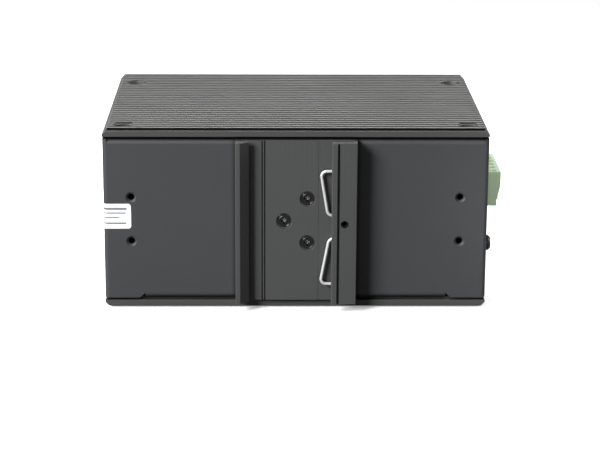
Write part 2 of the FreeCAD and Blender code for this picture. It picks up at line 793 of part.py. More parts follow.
def clip_spring():
    """One bent steel wire: two arms stand out of the slot and its middle loops round the pin."""
    loop = (pin_diameter + wire_diameter) / 2
    corner_x = lip_x - arm_reach
    knee_x = lip_x - arm_knee_reach
    loop_x = pin_x + loop
    upper_z = pin_rise + loop
    knee_low = V(lip_x - lower_knee_reach, wire_y, -lower_arm_knee)
    slope = tangent_slope(knee_low, loop)
    points = [
        V(lip_x + upper_tail, wire_y, upper_arm_corner + upper_tail_rise),
        V(corner_x, wire_y, upper_arm_corner),
        V(knee_x, wire_y, upper_z + upper_knee_rise),
        V(lip_x + upper_entry, wire_y, upper_z),
        V(loop_x, wire_y, upper_z),
        V(loop_x, wire_y, knee_low.z + slope * (loop_x - knee_low.x)),
        knee_low,
        V(corner_x, wire_y, -lower_arm_corner),
        V(lip_x + lower_tail, wire_y, -lower_arm_corner - lower_tail_drop),
    ]
    route = rounded_route(points, wire_bend_radius)
    direction = (points[1] - points[0]).normalize()
    section = Part.Wire(Part.Circle(points[0], direction, wire_diameter / 2).toShape())
    return route.makePipeShell([section], True, False)


def tangent_slope(start, radius):
    """Slope in X-Z of the line from start that just clears the pin on its lower side."""
    across = pin_x - start.x
    rise = pin_rise - start.z
    distance = math.hypot(across, rise)
    return math.tan(math.atan2(rise, across) - math.asin(radius / distance))


def spring_pin():
    """Plain pin pressed through the spring hook into the clip's base."""
    start_y = -hook_height + pin_recess
    return rod(V(pin_x, start_y, pin_rise), Y_AXIS, pin_diameter, pin_foot - start_y)


# ---- seal label ----
def seal_label():
    """Paper seal over the corner of the rear wall and the lower end wall."""
    inner = bend_outer_radius
    outer = inner + label_thickness
    half = math.sqrt(0.5)
    corner = V(-half_height + inner, rear_y + inner, 0)

    def on_corner(radius, along_x, along_y):
        return corner + V(-radius * along_x, -radius * along_y, 0)

    rear_end = V(-half_height + label_width, rear_y, 0)
    side_end = V(-half_height, rear_y + label_width, 0)
    skin_y = V(0, -label_thickness, 0)
    skin_x = V(-label_thickness, 0, 0)
    edges = [
        Part.LineSegment(rear_end, rear_end + skin_y).toShape(),
        Part.LineSegment(rear_end + skin_y, on_corner(outer, 0, 1)).toShape(),
        Part.Arc(on_corner(outer, 0, 1), on_corner(outer, half, half), on_corner(outer, 1, 0)).toShape(),
        Part.LineSegment(on_corner(outer, 1, 0), side_end + skin_x).toShape(),
        Part.LineSegment(side_end + skin_x, side_end).toShape(),
        Part.LineSegment(side_end, on_corner(inner, 1, 0)).toShape(),
        Part.Arc(on_corner(inner, 1, 0), on_corner(inner, half, half), on_corner(inner, 0, 1)).toShape(),
        Part.LineSegment(on_corner(inner, 0, 1), rear_end).toShape(),
    ]
    profile = Part.Face(Part.Wire(edges)).translated(Z_AXIS * (label_rise - label_height / 2))
    label = profile.extrude(Z_AXIS * label_height)
    rear_corners = [e for e in label.Edges if abs(e.Length - label_thickness) < 0.001
                    and abs(e.CenterOfMass.x + half_height - label_width) < 0.001]
    side_corners = [e for e in label.Edges if abs(e.Length - label_thickness) < 0.001
                    and abs(e.CenterOfMass.y - rear_y - label_width) < 0.001]
    return label.makeFillet(label_corner, rear_corners + side_corners)


# ---- ground screw ----
def ground_washer_ring():
    """Washer under the ground screw's head."""
    start = V(half_height, rear_y + ground_setback, -ground_drop)
    ring = rod(start, X_AXIS, ground_washer, ground_washer_thickness)
    return ring.cut(rod(start, X_AXIS, m3_hole, ground_washer_thickness))


def ground_screw():
    """Pan-head screw that clamps the earth lead's ring to the end wall, drawn with its shank up Z."""
    head = Part.makeCylinder(ground_head / 2, ground_head_height, V(0, 0, -ground_head_height))
    crown = [edge for edge in head.Edges if abs(edge.CenterOfMass.z + ground_head_height) < 0.01]
    head = head.makeChamfer(ground_head_height * crown_share, crown)
    shank = Part.makeCylinder(m3_shank / 2, ground_screw_length)
    recess = cross_recess().translated(V(0, 0, -ground_head_height))
    seat = V(half_height + ground_washer_thickness, rear_y + ground_setback, -ground_drop)
    return turned_towards(head.fuse(shank).cut(recess), seat, X_AXIS * -1)


# ---- power connector ----
def pole_places():
    """Y of the six poles."""
    first = terminal_y - (pole_count - 1) * pole_pitch / 2
    return [first + i * pole_pitch for i in range(pole_count)]


def clamp_z():
    """Middle of the wire entries above the plug's underside."""
    return plug_bottom_z + plug_lower_height - plug_clamp_drop


def terminal_plug():
    """Green plug housing: stepped outline, six wire entries and six screw wells."""
    nose_low = plug_bottom_z + plug_nose_rise
    nose_high = nose_low + plug_nose_height
    top = plug_bottom_z + plug_height
    outline = [
        (plug_back_x, nose_low), (plug_shoulder_x, nose_low), (plug_shoulder_x, plug_bottom_z),
        (plug_face_x - plug_foot_step, plug_bottom_z),
        (plug_face_x - plug_foot_step, plug_bottom_z + plug_foot_height),
        (plug_face_x - plug_lower_step, plug_bottom_z + plug_foot_height + plug_lower_slope),
        (plug_face_x - plug_lip_step, plug_bottom_z + plug_lower_height),
        (plug_face_x, plug_bottom_z + plug_lower_height + plug_lip_slope),
        (plug_face_x, top), (plug_shoulder_x, top), (plug_shoulder_x, nose_high), (plug_back_x, nose_high),
    ]
    start_y = terminal_y - plug_half_y
    plug = prism([(x, start_y, z) for x, z in outline], Y_AXIS * (2 * plug_half_y))
    well_x = plug_face_x - plug_screw_setback
    for y in pole_places():
        half = plug_clamp_width / 2
        low = clamp_z() - plug_clamp_height / 2
        room = box(well_x - plug_clamp_depth / 2, well_x + plug_clamp_depth / 2, y - half, y + half,
                   low, low + plug_clamp_height)
        well = rod(V(well_x, y, clamp_z()), Z_AXIS, plug_screw_hole, plug_height)
        entry = rod(V(well_x, y, clamp_z()), X_AXIS, plug_entry, plug_screw_setback + 1)
        pin_way = box(plug_back_x - 1, well_x, y - header_pin / 2 - plug_gap, y + header_pin / 2 + plug_gap,
                      header_pin_z() - header_pin / 2 - plug_gap, header_pin_z() + header_pin / 2 + plug_gap)
        plug = plug.cut([room, well, entry, pin_way])
    return plug


def header_pin_z():
    """Level of the pins inside the header."""
    return plug_bottom_z + plug_nose_rise + plug_nose_height / 2


def plug_clamps():
    """Six steel cages that the screws draw up against the wires."""
    cages = []
    well_x = plug_face_x - plug_screw_setback
    for y in pole_places():
        half_y = plug_clamp_width / 2
        half_x = plug_clamp_depth / 2
        low = clamp_z() - plug_clamp_height / 2
        high = low + plug_clamp_height
        cage = box(well_x - half_x, well_x + half_x, y - half_y, y + half_y, low, high)
        inner = box(well_x - half_x - 1, well_x + half_x + 1, y - half_y + plug_clamp_wall,
                    y + half_y - plug_clamp_wall, low + plug_clamp_wall, high - plug_clamp_wall)
        thread = rod(V(well_x, y, high - plug_clamp_wall), Z_AXIS, plug_entry - plug_clamp_wall, 2)
        cages.append(cage.cut([inner, thread]))
    return cages


def plug_screws():
    """Six slotted clamp screws, sunk in their wells."""
    screws = []
    well_x = plug_face_x - plug_screw_setback
    head_top = plug_bottom_z + plug_height - plug_screw_sink
    cage_top = clamp_z() + plug_clamp_height / 2
    for y in pole_places():
        head = rod(V(well_x, y, cage_top), Z_AXIS, plug_screw_head, head_top - cage_top)
        shank = rod(V(well_x, y, cage_top - plug_screw_reach), Z_AXIS,
                    plug_entry - plug_clamp_wall - 2 * thread_gap, plug_screw_reach)
        slot = box(well_x - plug_screw_head, well_x + plug_screw_head, y - plug_screw_slot / 2,
                   y + plug_screw_slot / 2, head_top - plug_screw_slot_depth, head_top)
        screws.append(head.fuse(shank).cut(slot))
    return screws


def terminal_header():
    """Open-fronted header on the power board; the plug's nose slides into it."""
    nose_low = plug_bottom_z + plug_nose_rise
    mouth_x = plug_shoulder_x - plug_gap
    half_y = plug_half_y + header_wall
    block = box(header_back_x, mouth_x, terminal_y - half_y, terminal_y + half_y, power_top_z,
                power_top_z + header_height)
    room = box(plug_back_x - plug_gap, mouth_x + 1, terminal_y - plug_half_y - plug_gap,
               terminal_y + plug_half_y + plug_gap, nose_low - plug_gap,
               nose_low + plug_nose_height + plug_gap)
    header = block.cut(room)
    for y in pole_places():
        half = header_pin / 2
        level = header_pin_z()
        header = header.cut(box(header_back_x - 1, mouth_x, y - half, y + half, level - half, level + half))
    return header


def header_pins():
    """Six right-angled pins: one leg in the header, one through the power board."""
    pins = []
    half = header_pin / 2
    level = header_pin_z()
    foot_x = header_back_x - header_pin
    tip_x = plug_shoulder_x + header_pin_reach
    for y in pole_places():
        leg = box(foot_x, tip_x, y - half, y + half, level - half, level + half)
        foot = box(foot_x, header_back_x, y - half, y + half, power_top_z - header_pin_foot, level + half)
        pins.append(leg.fuse(foot).removeSplitter())
    return pins


# ---- boards and what stands on them ----
def main_board():
    """Large board near the lower side panel; it carries every port."""
    board = box(-main_half_x, main_half_x, board_rear_y, main_front_y, main_bottom_z, main_top_z)
    for x, y in stack_places() + outer_stack_places():
        board = board.cut(rod(V(x, y, main_bottom_z - 1), Z_AXIS, m3_shank + 2 * thread_gap, board_thickness + 2))
    return board


def power_board():
    """Smaller board above it for the supply inputs and the alarm relay."""
    board = box(power_start_x, power_end_x, board_rear_y, power_front_y, power_bottom_z, power_top_z)
    for x, y in stack_places():
        board = board.cut(rod(V(x, y, power_bottom_z - 1), Z_AXIS, m3_shank + 2 * thread_gap, board_thickness + 2))
    half = header_pin / 2
    foot_x = header_back_x - header_pin
    for y in pole_places():
        board = board.cut(box(foot_x, foot_x + header_pin, y - half, y + half, power_bottom_z - 1, power_top_z + 1))
    return board


def hexagon_bar(x, y, low, high):
    """Upright hexagon bar between two levels."""
    corners = [(x + standoff_radius * math.cos(math.pi * i / 3), y + standoff_radius * math.sin(math.pi * i / 3), low)
               for i in range(6)]
    return prism(corners, Z_AXIS * (high - low))


def lower_standoffs():
    """Hexagon standoffs between the lower side panel and the main board."""
    posts = []
    for x, y in stack_places() + outer_stack_places():
        post = hexagon_bar(x, y, -chassis_half, main_bottom_z)
        bore = rod(V(x, y, main_bottom_z - standoff_bore), Z_AXIS, m3_shank + 2 * thread_gap, standoff_bore + 1)
        posts.append(post.cut(bore))
    return posts


def middle_standoffs():
    """Longer standoffs between the boards, each with a stud into the one below."""
    posts = []
    for x, y in stack_places():
        post = hexagon_bar(x, y, main_top_z, power_bottom_z)
        stud = rod(V(x, y, main_bottom_z - standoff_stud), Z_AXIS, m3_shank, standoff_stud + board_thickness)
        bore = rod(V(x, y, power_bottom_z - standoff_bore), Z_AXIS, m3_shank + 2 * thread_gap, standoff_bore + 1)
        posts.append(post.fuse(stud).cut(bore))
    return posts


def board_screws():
    """Screws on top of the power board, and on the main board where nothing stands above."""
    upper = [board_screw(x, y, power_top_z) for x, y in stack_places()]
    lower = [board_screw(x, y, main_top_z) for x, y in outer_stack_places()]
    return upper + lower


def chip_place():
    """X and Y of the switch chip, under the main board behind the jacks."""
    return jack_bank_offset, (board_rear_y + power_front_y) / 2


def flat_part(x, y, level, up, length, width, height):
    """Rectangular component that stands on a board, or hangs under it when up is -1."""
    return box(x - length / 2, x + length / 2, y - width / 2, y + width / 2, level, level + up * height)


def switch_chip():
    """Square package of the switch chip."""
    x, y = chip_place()
    return flat_part(x, y, main_bottom_z, -1, chip_size, chip_size, chip_height)


def thermal_pad():
    """Soft pad between the chip and the heat block."""
    x, y = chip_place()
    return flat_part(x, y, main_bottom_z - chip_height, -1, chip_size, chip_size, pad_thickness)


def heat_block():
    """Aluminium block that leads the chip's heat to the lower side panel."""
    x, y = chip_place()
    top = main_bottom_z - chip_height - pad_thickness
    half = heat_block_size / 2
    block = box(x - half, x + half, y - half, y + half, -chassis_half, top)
    return block.makeChamfer(heat_block_chamfer, [e for e in block.Edges if abs(e.CenterOfMass.z - top) < 0.01])


def processor_place():
    """X and Y of the processor, on the main board beside the power board."""
    return power_start_x - processor_gap - processor_size / 2, board_rear_y + processor_setback


def processor():
    """Management processor on the open part of the main board."""
    x, y = processor_place()
    return flat_part(x, y, main_top_z, 1, processor_size, processor_size, processor_height)


def memory_chips():
    """Two memory chips beside the processor."""
    x, y = processor_place()
    beside = y + processor_size / 2 + memory_gap + memory_width / 2
    return [flat_part(x + side * memory_pitch / 2, beside, main_top_z, 1, memory_length, memory_width, memory_height)
            for side in (-1, 1)]


def link_place():
    """X and Y of the connector between the boards."""
    return power_start_x + link_offset, power_front_y - link_front_inset


def link_pin_places():
    """X of the pins of that connector."""
    x, _ = link_place()
    return [x + (i - (link_rows - 1) / 2) * link_pitch for i in range(link_rows)]


def link_socket():
    """Socket strip on the main board with a row of square holes."""
    x, y = link_place()
    socket = flat_part(x, y, main_top_z, 1, link_rows * link_pitch, link_width, link_socket_height)
    half = link_pin / 2
    for px in link_pin_places():
        socket = socket.cut(box(px - half, px + half, y - half, y + half, main_top_z + link_floor, power_bottom_z))
    return socket


def link_header():
    """Pin strip under the power board: square pins pressed through a plastic block."""
    x, y = link_place()
    header = flat_part(x, y, power_bottom_z, -1, link_rows * link_pitch, link_width, link_block)
    half = link_pin / 2
    tip_z = main_top_z + link_floor + link_pin_gap
    pins = [box(px - half, px + half, y - half, y + half, tip_z, power_bottom_z) for px in link_pin_places()]
    return header.fuse(pins).removeSplitter()


def power_transformer():
    """Ferrite core in two halves round a winding, made as one cemented part."""
    x, y = power_start_x + transformer_offset, board_rear_y + transformer_setback
    core = flat_part(x, y, power_top_z, 1, transformer_length, transformer_width, transformer_height)
    window = transformer_length - 2 * transformer_leg
    room = box(x - window / 2, x + window / 2, y - transformer_width, y + transformer_width,
               power_top_z + transformer_yoke, power_top_z + transformer_height - transformer_yoke)
    winding = rod(V(x, y, power_top_z + transformer_yoke), Z_AXIS, winding_diameter,
                  transformer_height - 2 * transformer_yoke)
    return core.cut(room).fuse(winding)


def filter_choke():
    """Ring-shaped choke of the input filter, lying flat on the board."""
    foot = V(power_start_x + choke_offset, board_rear_y + choke_setback, power_top_z)
    ring = rod(foot, Z_AXIS, choke_diameter, choke_height).cut(rod(foot, Z_AXIS, choke_bore, choke_height))
    return ring.makeChamfer(choke_chamfer, [e for e in ring.Edges if e.Closed])


def electrolytic_can(x, y, diameter, height):
    """Sleeved aluminium can that stands on the power board."""
    can = rod(V(x, y, power_top_z), Z_AXIS, diameter, height)
    rim = [e for e in can.Edges if abs(e.CenterOfMass.z - power_top_z - height) < 0.01]
    return can.makeChamfer(can_chamfer, rim)


def input_capacitors():
    """Two tall cans on the supply side."""
    first_x = power_start_x + input_can_offset
    pitch = input_can_diameter + input_can_gap
    y = board_rear_y + input_can_setback
    return [electrolytic_can(first_x + i * pitch, y, input_can_diameter, input_can_height) for i in range(2)]


def output_capacitors():
    """Three smaller cans on the converter's output."""
    first_x = power_start_x + output_can_offset
    pitch = output_can_diameter + output_can_gap
    y = power_front_y - output_can_front_inset
    return [electrolytic_can(first_x + i * pitch, y, output_can_diameter, output_can_height) for i in range(3)]


def alarm_relay():
    """Sealed relay behind the connector's alarm poles."""
    x = header_back_x - relay_gap - relay_length / 2
    y = power_front_y - relay_front_inset - relay_width / 2
    case = flat_part(x, y, power_top_z, 1, relay_length, relay_width, relay_height)
    top = [e for e in case.Edges if abs(e.CenterOfMass.z - power_top_z - relay_height) < 0.01]
    return case.makeChamfer(relay_chamfer, top)


def input_fuses():
    """Two tubular fuses lying on the board, one for each supply input."""
    fuses = []
    start_x = power_start_x + fuse_offset - fuse_length / 2
    for i in range(2):
        start = V(start_x, board_rear_y + fuse_setback + i * fuse_pitch, power_top_z + fuse_diameter / 2)
        glass = rod(start, X_AXIS, fuse_glass_diameter, fuse_length)
        far_cap = start + X_AXIS * (fuse_length - fuse_cap)
        caps = [rod(place, X_AXIS, fuse_diameter, fuse_cap) for place in (start, far_cap)]
        fuses.append(glass.fuse(caps))
    return fuses


# ---- port jacks ----
def port_void(x, contact_z, away):
    """Hollow of one port: away is +1 when its latch slot lies above its contacts."""
    back_y = jack_face_y - port_depth
    far_z = contact_z + away * port_height
    half = port_width / 2
    body = box(x - half, x + half, back_y, jack_face_y + 1, contact_z, far_z)
    slot_z = far_z + away * latch_slot_height
    slot = box(x - latch_slot_width / 2, x + latch_slot_width / 2, back_y + latch_slot_back,
               jack_face_y + 1, far_z, slot_z)
    key_z = slot_z + away * latch_key_height
    key = box(x - latch_key_width / 2, x + latch_key_width / 2, back_y + latch_key_back,
              jack_face_y + 1, slot_z, key_z)
    return body.fuse([slot, key])


def double_port_levels():
    """Contact level and latch direction of the lower and the upper port of a double jack."""
    middle = main_top_z + jack_height / 2
    return [(middle - port_wall, -1), (middle + port_wall, 1)]


def single_port_level():
    """The single jack has its contacts below and its latch above."""
    return main_top_z + console_port_floor, 1


def jack_housing(x, height, ports):
    """Moulded insert of one jack with a hollow for each of its ports."""
    half = jack_width / 2 - shield
    insert = box(x - half, x + half, jack_face_y - jack_depth + shield, jack_face_y - shield,
                 main_top_z, main_top_z + height - shield)
    for contact_z, away in ports:
        insert = insert.cut(port_void(x, contact_z, away))
    for contact_z, away in ports:
        for contact_x in contact_places(x):
            insert = insert.cut(contact_slot(contact_x, contact_z, away))
    return insert


def jack_shield(x, height, ports):
    """Thin steel shell round the insert, open below and at each port."""
    half = jack_width / 2
    shell = box(x - half, x + half, jack_face_y - jack_depth, jack_face_y, main_top_z, main_top_z + height)
    core = box(x - half + shield, x + half - shield, jack_face_y - jack_depth + shield, jack_face_y - shield,
               main_top_z, main_top_z + height - shield)
    shell = shell.cut(core)
    for contact_z, away in ports:
        shell = shell.cut(port_void(x, contact_z, away))
    return shell


def contact_places(x):
    """X of the contacts of one port."""
    return [x + (i - (contact_count - 1) / 2) * contact_pitch for i in range(contact_count)]


def contact_slot(x, contact_z, away):
    """Slot in the insert's shelf that holds one contact's foot."""
    half = contact_width / 2
    back_y = jack_face_y - port_depth
    return box(x - half, x + half, back_y - contact_foot, back_y + contact_run, contact_z,
               contact_z - away * contact_thickness)


def jack_contact(x, contact_z, away):
    """One spring contact: a foot in the shelf, bent back towards the rear of the port."""
    half = contact_width / 2
    back_y = jack_face_y - port_depth
    bend_y = back_y + contact_run
    foot_low = contact_z - away * contact_thickness
    tip_z = contact_z + away * contact_droop
    foot_y = back_y - contact_foot
    tip_y = back_y + contact_tip_gap
    outline = [
        (foot_y, foot_low), (bend_y, foot_low), (bend_y, contact_z),
        (tip_y, tip_z + away * contact_thickness), (tip_y, tip_z),
        (bend_y - contact_bend, contact_z), (foot_y, contact_z),
    ]
    return prism([(x - half, y, z) for y, z in outline], X_AXIS * contact_width)


def jack_contacts():
    """Every contact of every jack."""
    contacts = []
    for x in jack_centres():
        for contact_z, away in double_port_levels():
            contacts += [jack_contact(px, contact_z, away) for px in contact_places(x)]
    contact_z, away = single_port_level()
    contacts += [jack_contact(px, contact_z, away) for px in contact_places(console_offset)]
    return contacts


# ---- pluggable optics cages ----
def optics_cage(x):
    """Folded steel cage, open at the front and with a gap in its floor over the connector."""
    half = cage_width / 2
    back_y = jack_face_y - cage_length
    cage = box(x - half, x + half, back_y, jack_face_y, main_top_z, main_top_z + cage_height)
    room = box(x - half + cage_sheet, x + half - cage_sheet, back_y + cage_sheet, jack_face_y + 1,
               main_top_z + cage_sheet, main_top_z + cage_height - cage_sheet)
    floor_gap = box(x - half + cage_sheet, x + half - cage_sheet, back_y - 1,
                    back_y + cage_socket_setback + cage_socket_length + cage_floor_margin,
                    main_top_z - 1, main_top_z + cage_sheet)
    return cage.cut([room, floor_gap])


def optics_socket(x):
    """Board connector inside the back of a cage, with the slot for the module's edge."""
    half = cage_socket_width / 2
    back_y = jack_face_y - cage_length + cage_socket_setback
    socket = box(x - half, x + half, back_y, back_y + cage_socket_length, main_top_z,
                 main_top_z + cage_socket_height)
    slot_low = main_top_z + cage_socket_height / 2 - cage_socket_slot / 2
    slot = box(x - half + cage_socket_wall, x + half - cage_socket_wall, back_y + cage_socket_back,
               back_y + cage_socket_length + 1, slot_low, slot_low + cage_socket_slot)
    return socket.cut(slot)


# ---- indicator board, lamps and reset button ----
def stud_places():
    """X and Z of the two studs that hold the indicator board."""
    half = indicator_length / 2 - stud_end_inset
    low = indicator_rise - indicator_width / 2 + stud_end_inset
    return [(indicator_offset - half, low), (indicator_offset + half, low)]


def indicator_board():
    """Small upright board behind the front panel."""
    half_x = indicator_length / 2
    half_z = indicator_width / 2
    return box(indicator_offset - half_x, indicator_offset + half_x, indicator_face_y - board_thickness,
               indicator_face_y, indicator_rise - half_z, indicator_rise + half_z)


def indicator_studs():
    """Spacers between the front panel and the indicator board."""
    return [rod(V(x, indicator_face_y, z), Y_AXIS, stud_diameter, indicator_setback) for x, z in stud_places()]


def status_lamps():
    """Round lamps that end just inside the panel's holes."""
    lamps = []
    length = front_y - led_sink - indicator_face_y
    for x, z in led_centres():
        flange = rod(V(x, indicator_face_y, z), Y_AXIS, led_flange, led_flange_height)
        barrel = rod(V(x, indicator_face_y, z), Y_AXIS, led_diameter, length)
        lamps.append(flange.fuse(barrel))
    return lamps


def reset_place():
    """X and Z of the reset button."""
    return indicator_offset + reset_column_offset, indicator_rise


def reset_switch():
    """Body of the reset switch with the bore its button slides in."""
    x, z = reset_place()
    half = switch_body / 2
    body = box(x - half, x + half, indicator_face_y, indicator_face_y + switch_height, z - half, z + half)
    room = rod(V(x, indicator_face_y + switch_plate, z), Y_AXIS, button_collar + 2 * button_gap, switch_height)
    cover = box(x - half, x + half, indicator_face_y + switch_height - switch_plate,
                indicator_face_y + switch_height, z - half, z + half)
    throat = rod(V(x, indicator_face_y, z), Y_AXIS, button_diameter + 2 * button_gap, switch_height + 1)
    floor = box(x - half, x + half, indicator_face_y, indicator_face_y + switch_plate, z - half, z + half)
    return body.cut(room).fuse(cover.cut(throat)).fuse(floor).removeSplitter()


def reset_button():
    """Push button: a collar that stays inside the switch and a stem that reaches the panel."""
    x, z = reset_place()
    collar_y = indicator_face_y + switch_height - switch_plate - button_rest_gap - button_collar_height
    collar = rod(V(x, collar_y, z), Y_AXIS, button_collar, button_collar_height)
    stem = rod(V(x, collar_y, z), Y_AXIS, button_diameter, front_y - button_sink - collar_y)
    tip = [e for e in stem.Edges if abs(e.CenterOfMass.y - front_y + button_sink) < 0.01]
    return collar.fuse(stem.makeChamfer(button_chamfer, tip))


def build():
    """Makes every node and writes its file."""
    os.makedirs("parts", exist_ok=True)
    filled_bore = m3_shank + 2 * thread_gap
    upper = side_panel()
    lower = upper.mirror(V(0, 0, 0), Z_AXIS)
    write("chassis_shell", chassis_shell())
    write("front_panel", front_panel())
    write("upper_side_panel", upper)
    write("lower_side_panel", lower)
    write("upper_panel_screws", panel_screws(1))
    write("lower_panel_screws", panel_screws(-1))
    write("front_panel_screws", [countersunk_screw(V(side * half_height, y, z), X_AXIS * -side, front_screw_length)
                                 for side in (-1, 1) for y, z in front_screw_places()])
    write("wall_mount_nuts", [clinch_nut(V(x, rear_y, z), Y_AXIS, nut_thread) for x, z in wall_mount_places()])
    write("clip_nuts", [clinch_nut(V(x, rear_y, z), Y_AXIS, filled_bore) for x, z in clip_screw_places()])
    write("din_clip", din_clip())
    write("clip_spring", clip_spring())
    write("spring_pin", spring_pin())
    write("clip_screws", clip_screws())
    write("seal_label", seal_label())
    write("ground_washer", ground_washer_ring())
    write("ground_screw", ground_screw())
    ground_place = V(half_height, rear_y + ground_setback, -ground_drop)
    write("ground_nut", clinch_nut(ground_place, X_AXIS * -1, filled_bore))
    write("terminal_plug", terminal_plug())
    write("plug_clamps", plug_clamps())
    write("plug_screws", plug_screws())
    write("terminal_header", terminal_header())
    write("header_pins", header_pins())
    write("main_board", main_board())
    write("power_board", power_board())
    write("lower_standoffs", lower_standoffs())
    write("middle_standoffs", middle_standoffs())
    write("board_screws", board_screws())
    write("switch_chip", switch_chip())
    write("thermal_pad", thermal_pad())
    write("heat_block", heat_block())
    write("processor", processor())
    write("memory_chips", memory_chips())
    write("link_socket", link_socket())
    write("link_header", link_header())
    write("power_transformer", power_transformer())
    write("filter_choke", filter_choke())
    write("input_capacitors", input_capacitors())
    write("output_capacitors", output_capacitors())
    write("alarm_relay", alarm_relay())
    write("input_fuses", input_fuses())
    for i, x in enumerate(jack_centres(), start=1):
        write("port_jack_" + str(i), jack_housing(x, jack_height, double_port_levels()))
        write("port_shield_" + str(i), jack_shield(x, jack_height, double_port_levels()))
    write("console_jack", jack_housing(console_offset, single_jack_height, [single_port_level()]))
    write("console_shield", jack_shield(console_offset, single_jack_height, [single_port_level()]))
    write("jack_contacts", jack_contacts())
    for i, x in enumerate(cage_centres(), start=1):
        write("optics_cage_" + str(i), optics_cage(x))
        write("optics_socket_" + str(i), optics_socket(x))
    write("indicator_board", indicator_board())
    write("indicator_studs", indicator_studs())
    write("status_lamps", status_lamps())
    write("reset_switch", reset_switch())
    write("reset_button", reset_button())


build()
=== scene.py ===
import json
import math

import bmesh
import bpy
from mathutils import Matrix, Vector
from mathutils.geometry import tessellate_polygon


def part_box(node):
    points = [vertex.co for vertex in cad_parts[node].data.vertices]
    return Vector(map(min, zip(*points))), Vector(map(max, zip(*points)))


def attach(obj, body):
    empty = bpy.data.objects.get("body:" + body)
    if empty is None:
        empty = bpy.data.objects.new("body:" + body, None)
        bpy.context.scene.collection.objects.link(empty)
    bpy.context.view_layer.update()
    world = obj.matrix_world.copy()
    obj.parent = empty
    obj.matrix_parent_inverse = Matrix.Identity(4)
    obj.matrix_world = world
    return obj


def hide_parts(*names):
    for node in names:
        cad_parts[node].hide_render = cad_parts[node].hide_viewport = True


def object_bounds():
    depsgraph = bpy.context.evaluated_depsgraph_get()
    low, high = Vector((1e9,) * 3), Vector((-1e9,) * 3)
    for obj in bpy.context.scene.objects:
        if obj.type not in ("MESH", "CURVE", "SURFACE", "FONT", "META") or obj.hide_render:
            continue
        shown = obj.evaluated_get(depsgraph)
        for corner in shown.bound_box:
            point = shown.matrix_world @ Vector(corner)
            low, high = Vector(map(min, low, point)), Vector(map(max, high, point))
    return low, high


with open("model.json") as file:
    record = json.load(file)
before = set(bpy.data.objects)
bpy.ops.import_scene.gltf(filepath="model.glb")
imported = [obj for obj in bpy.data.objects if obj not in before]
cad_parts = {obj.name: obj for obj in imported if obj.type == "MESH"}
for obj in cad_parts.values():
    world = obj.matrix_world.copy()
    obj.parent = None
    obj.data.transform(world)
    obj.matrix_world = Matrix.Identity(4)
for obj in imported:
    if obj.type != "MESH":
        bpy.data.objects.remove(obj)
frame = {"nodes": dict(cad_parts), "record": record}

# %% [markdown]
# # A rail-mounted network switch
#
# The unit is a folded steel case between two ribbed aluminium side panels, with an aluminium rail
# clip screwed to its back. The CAD frame already holds every piece at its true size and place. This
# lesson dresses that frame: it softens the edges the way a real coating does, remakes the pieces
# that a plain solid can't show well, gives each finish its own procedural material, and sets up a
# small studio.
#
# All sizes below are in millimetres and are turned into metres by MM, unless a comment says metres.

MM = 0.001
cad_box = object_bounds()
record = frame["record"]
slot_of_node = {part["node"]: part["material_slot"] for part in record["subparts"]}
body_of_node = {node: body for body, nodes in record["behaviour"]["bodies"].items() for node in nodes}
print("nodes in the frame:", len(slot_of_node))
print("box of the frame in mm:", [[round(v / MM, 1) for v in corner] for corner in cad_box])

# %% [markdown]
# ## A short way to add shader nodes
#
# A material is a small program drawn as boxes. Writing each box takes three steps in Python: make
# it, set its fields, and set or link its sockets. One helper does all three. Two more wrap the boxes
# used most, arithmetic and rescaling, so that the material cells read as recipes.

# %% Node helpers
def put(tree, kind, sockets=None, **fields):
    """Adds a node; a value in sockets is set, and another node's output is linked."""
    node = tree.nodes.new(kind)
    for field, value in fields.items():
        setattr(node, field, value)
    for socket, value in (sockets or {}).items():
        if isinstance(value, bpy.types.NodeSocket):
            tree.links.new(value, node.inputs[socket])
        else:
            node.inputs[socket].default_value = value
    return node


def calc(tree, operation, *values, clamp=False):
    """The result of one arithmetic node; each value is a number or another node's output."""
    return put(tree, "ShaderNodeMath", dict(enumerate(values)), operation=operation,
               use_clamp=clamp).outputs[0]


def remap(tree, value, low, high, to_low=0.0, to_high=1.0):
    """The value moved from one range to another and held inside it."""
    return put(tree, "ShaderNodeMapRange", {"Value": value, "From Min": low, "From Max": high,
                                            "To Min": to_low, "To Max": to_high}).outputs[0]


def group_frame(name, inputs, outputs):
    """An empty node group with its named sockets, and its input and output nodes."""
    tree = bpy.data.node_groups.new(name, "ShaderNodeTree")
    for label, kind, default in inputs:
        socket = tree.interface.new_socket(label, in_out="INPUT", socket_type=kind)
        if default is not None:
            socket.default_value = default
    for label, kind in outputs:
        tree.interface.new_socket(label, in_out="OUTPUT", socket_type=kind)
    return tree, tree.nodes.new("NodeGroupInput"), tree.nodes.new("NodeGroupOutput")


print("helpers ready")

# %% [markdown]
# ## Shared effects as node groups
#
# Powder coat, anodising and moulded plastic differ in colour and gloss, but they share a few
# effects: a fine grain, lines left by drawing or extruding, edges made lighter (rubbed wear and a
# painted highlight), gaps darkened with painted shade and dust that settles on what faces up. Each
# effect could be copied into every material. A
# group is built once and placed with its own values, so a change to the effect reaches every finish
# that uses it.

# %% Fine grain
VECTOR, NUMBER = "NodeSocketVector", "NodeSocketFloat"


def give_pattern(tree, noise, contrast, out):
    """Gives a noise out of its group as Shade, round 1 to vary a colour, and Height, for a bump."""
    centred = calc(tree, "SUBTRACT", noise.outputs["Fac"], 0.5)
    tree.links.new(calc(tree, "MULTIPLY_ADD", centred, contrast, 1.0), out.inputs["Shade"])
    tree.links.new(noise.outputs["Fac"], out.inputs["Height"])


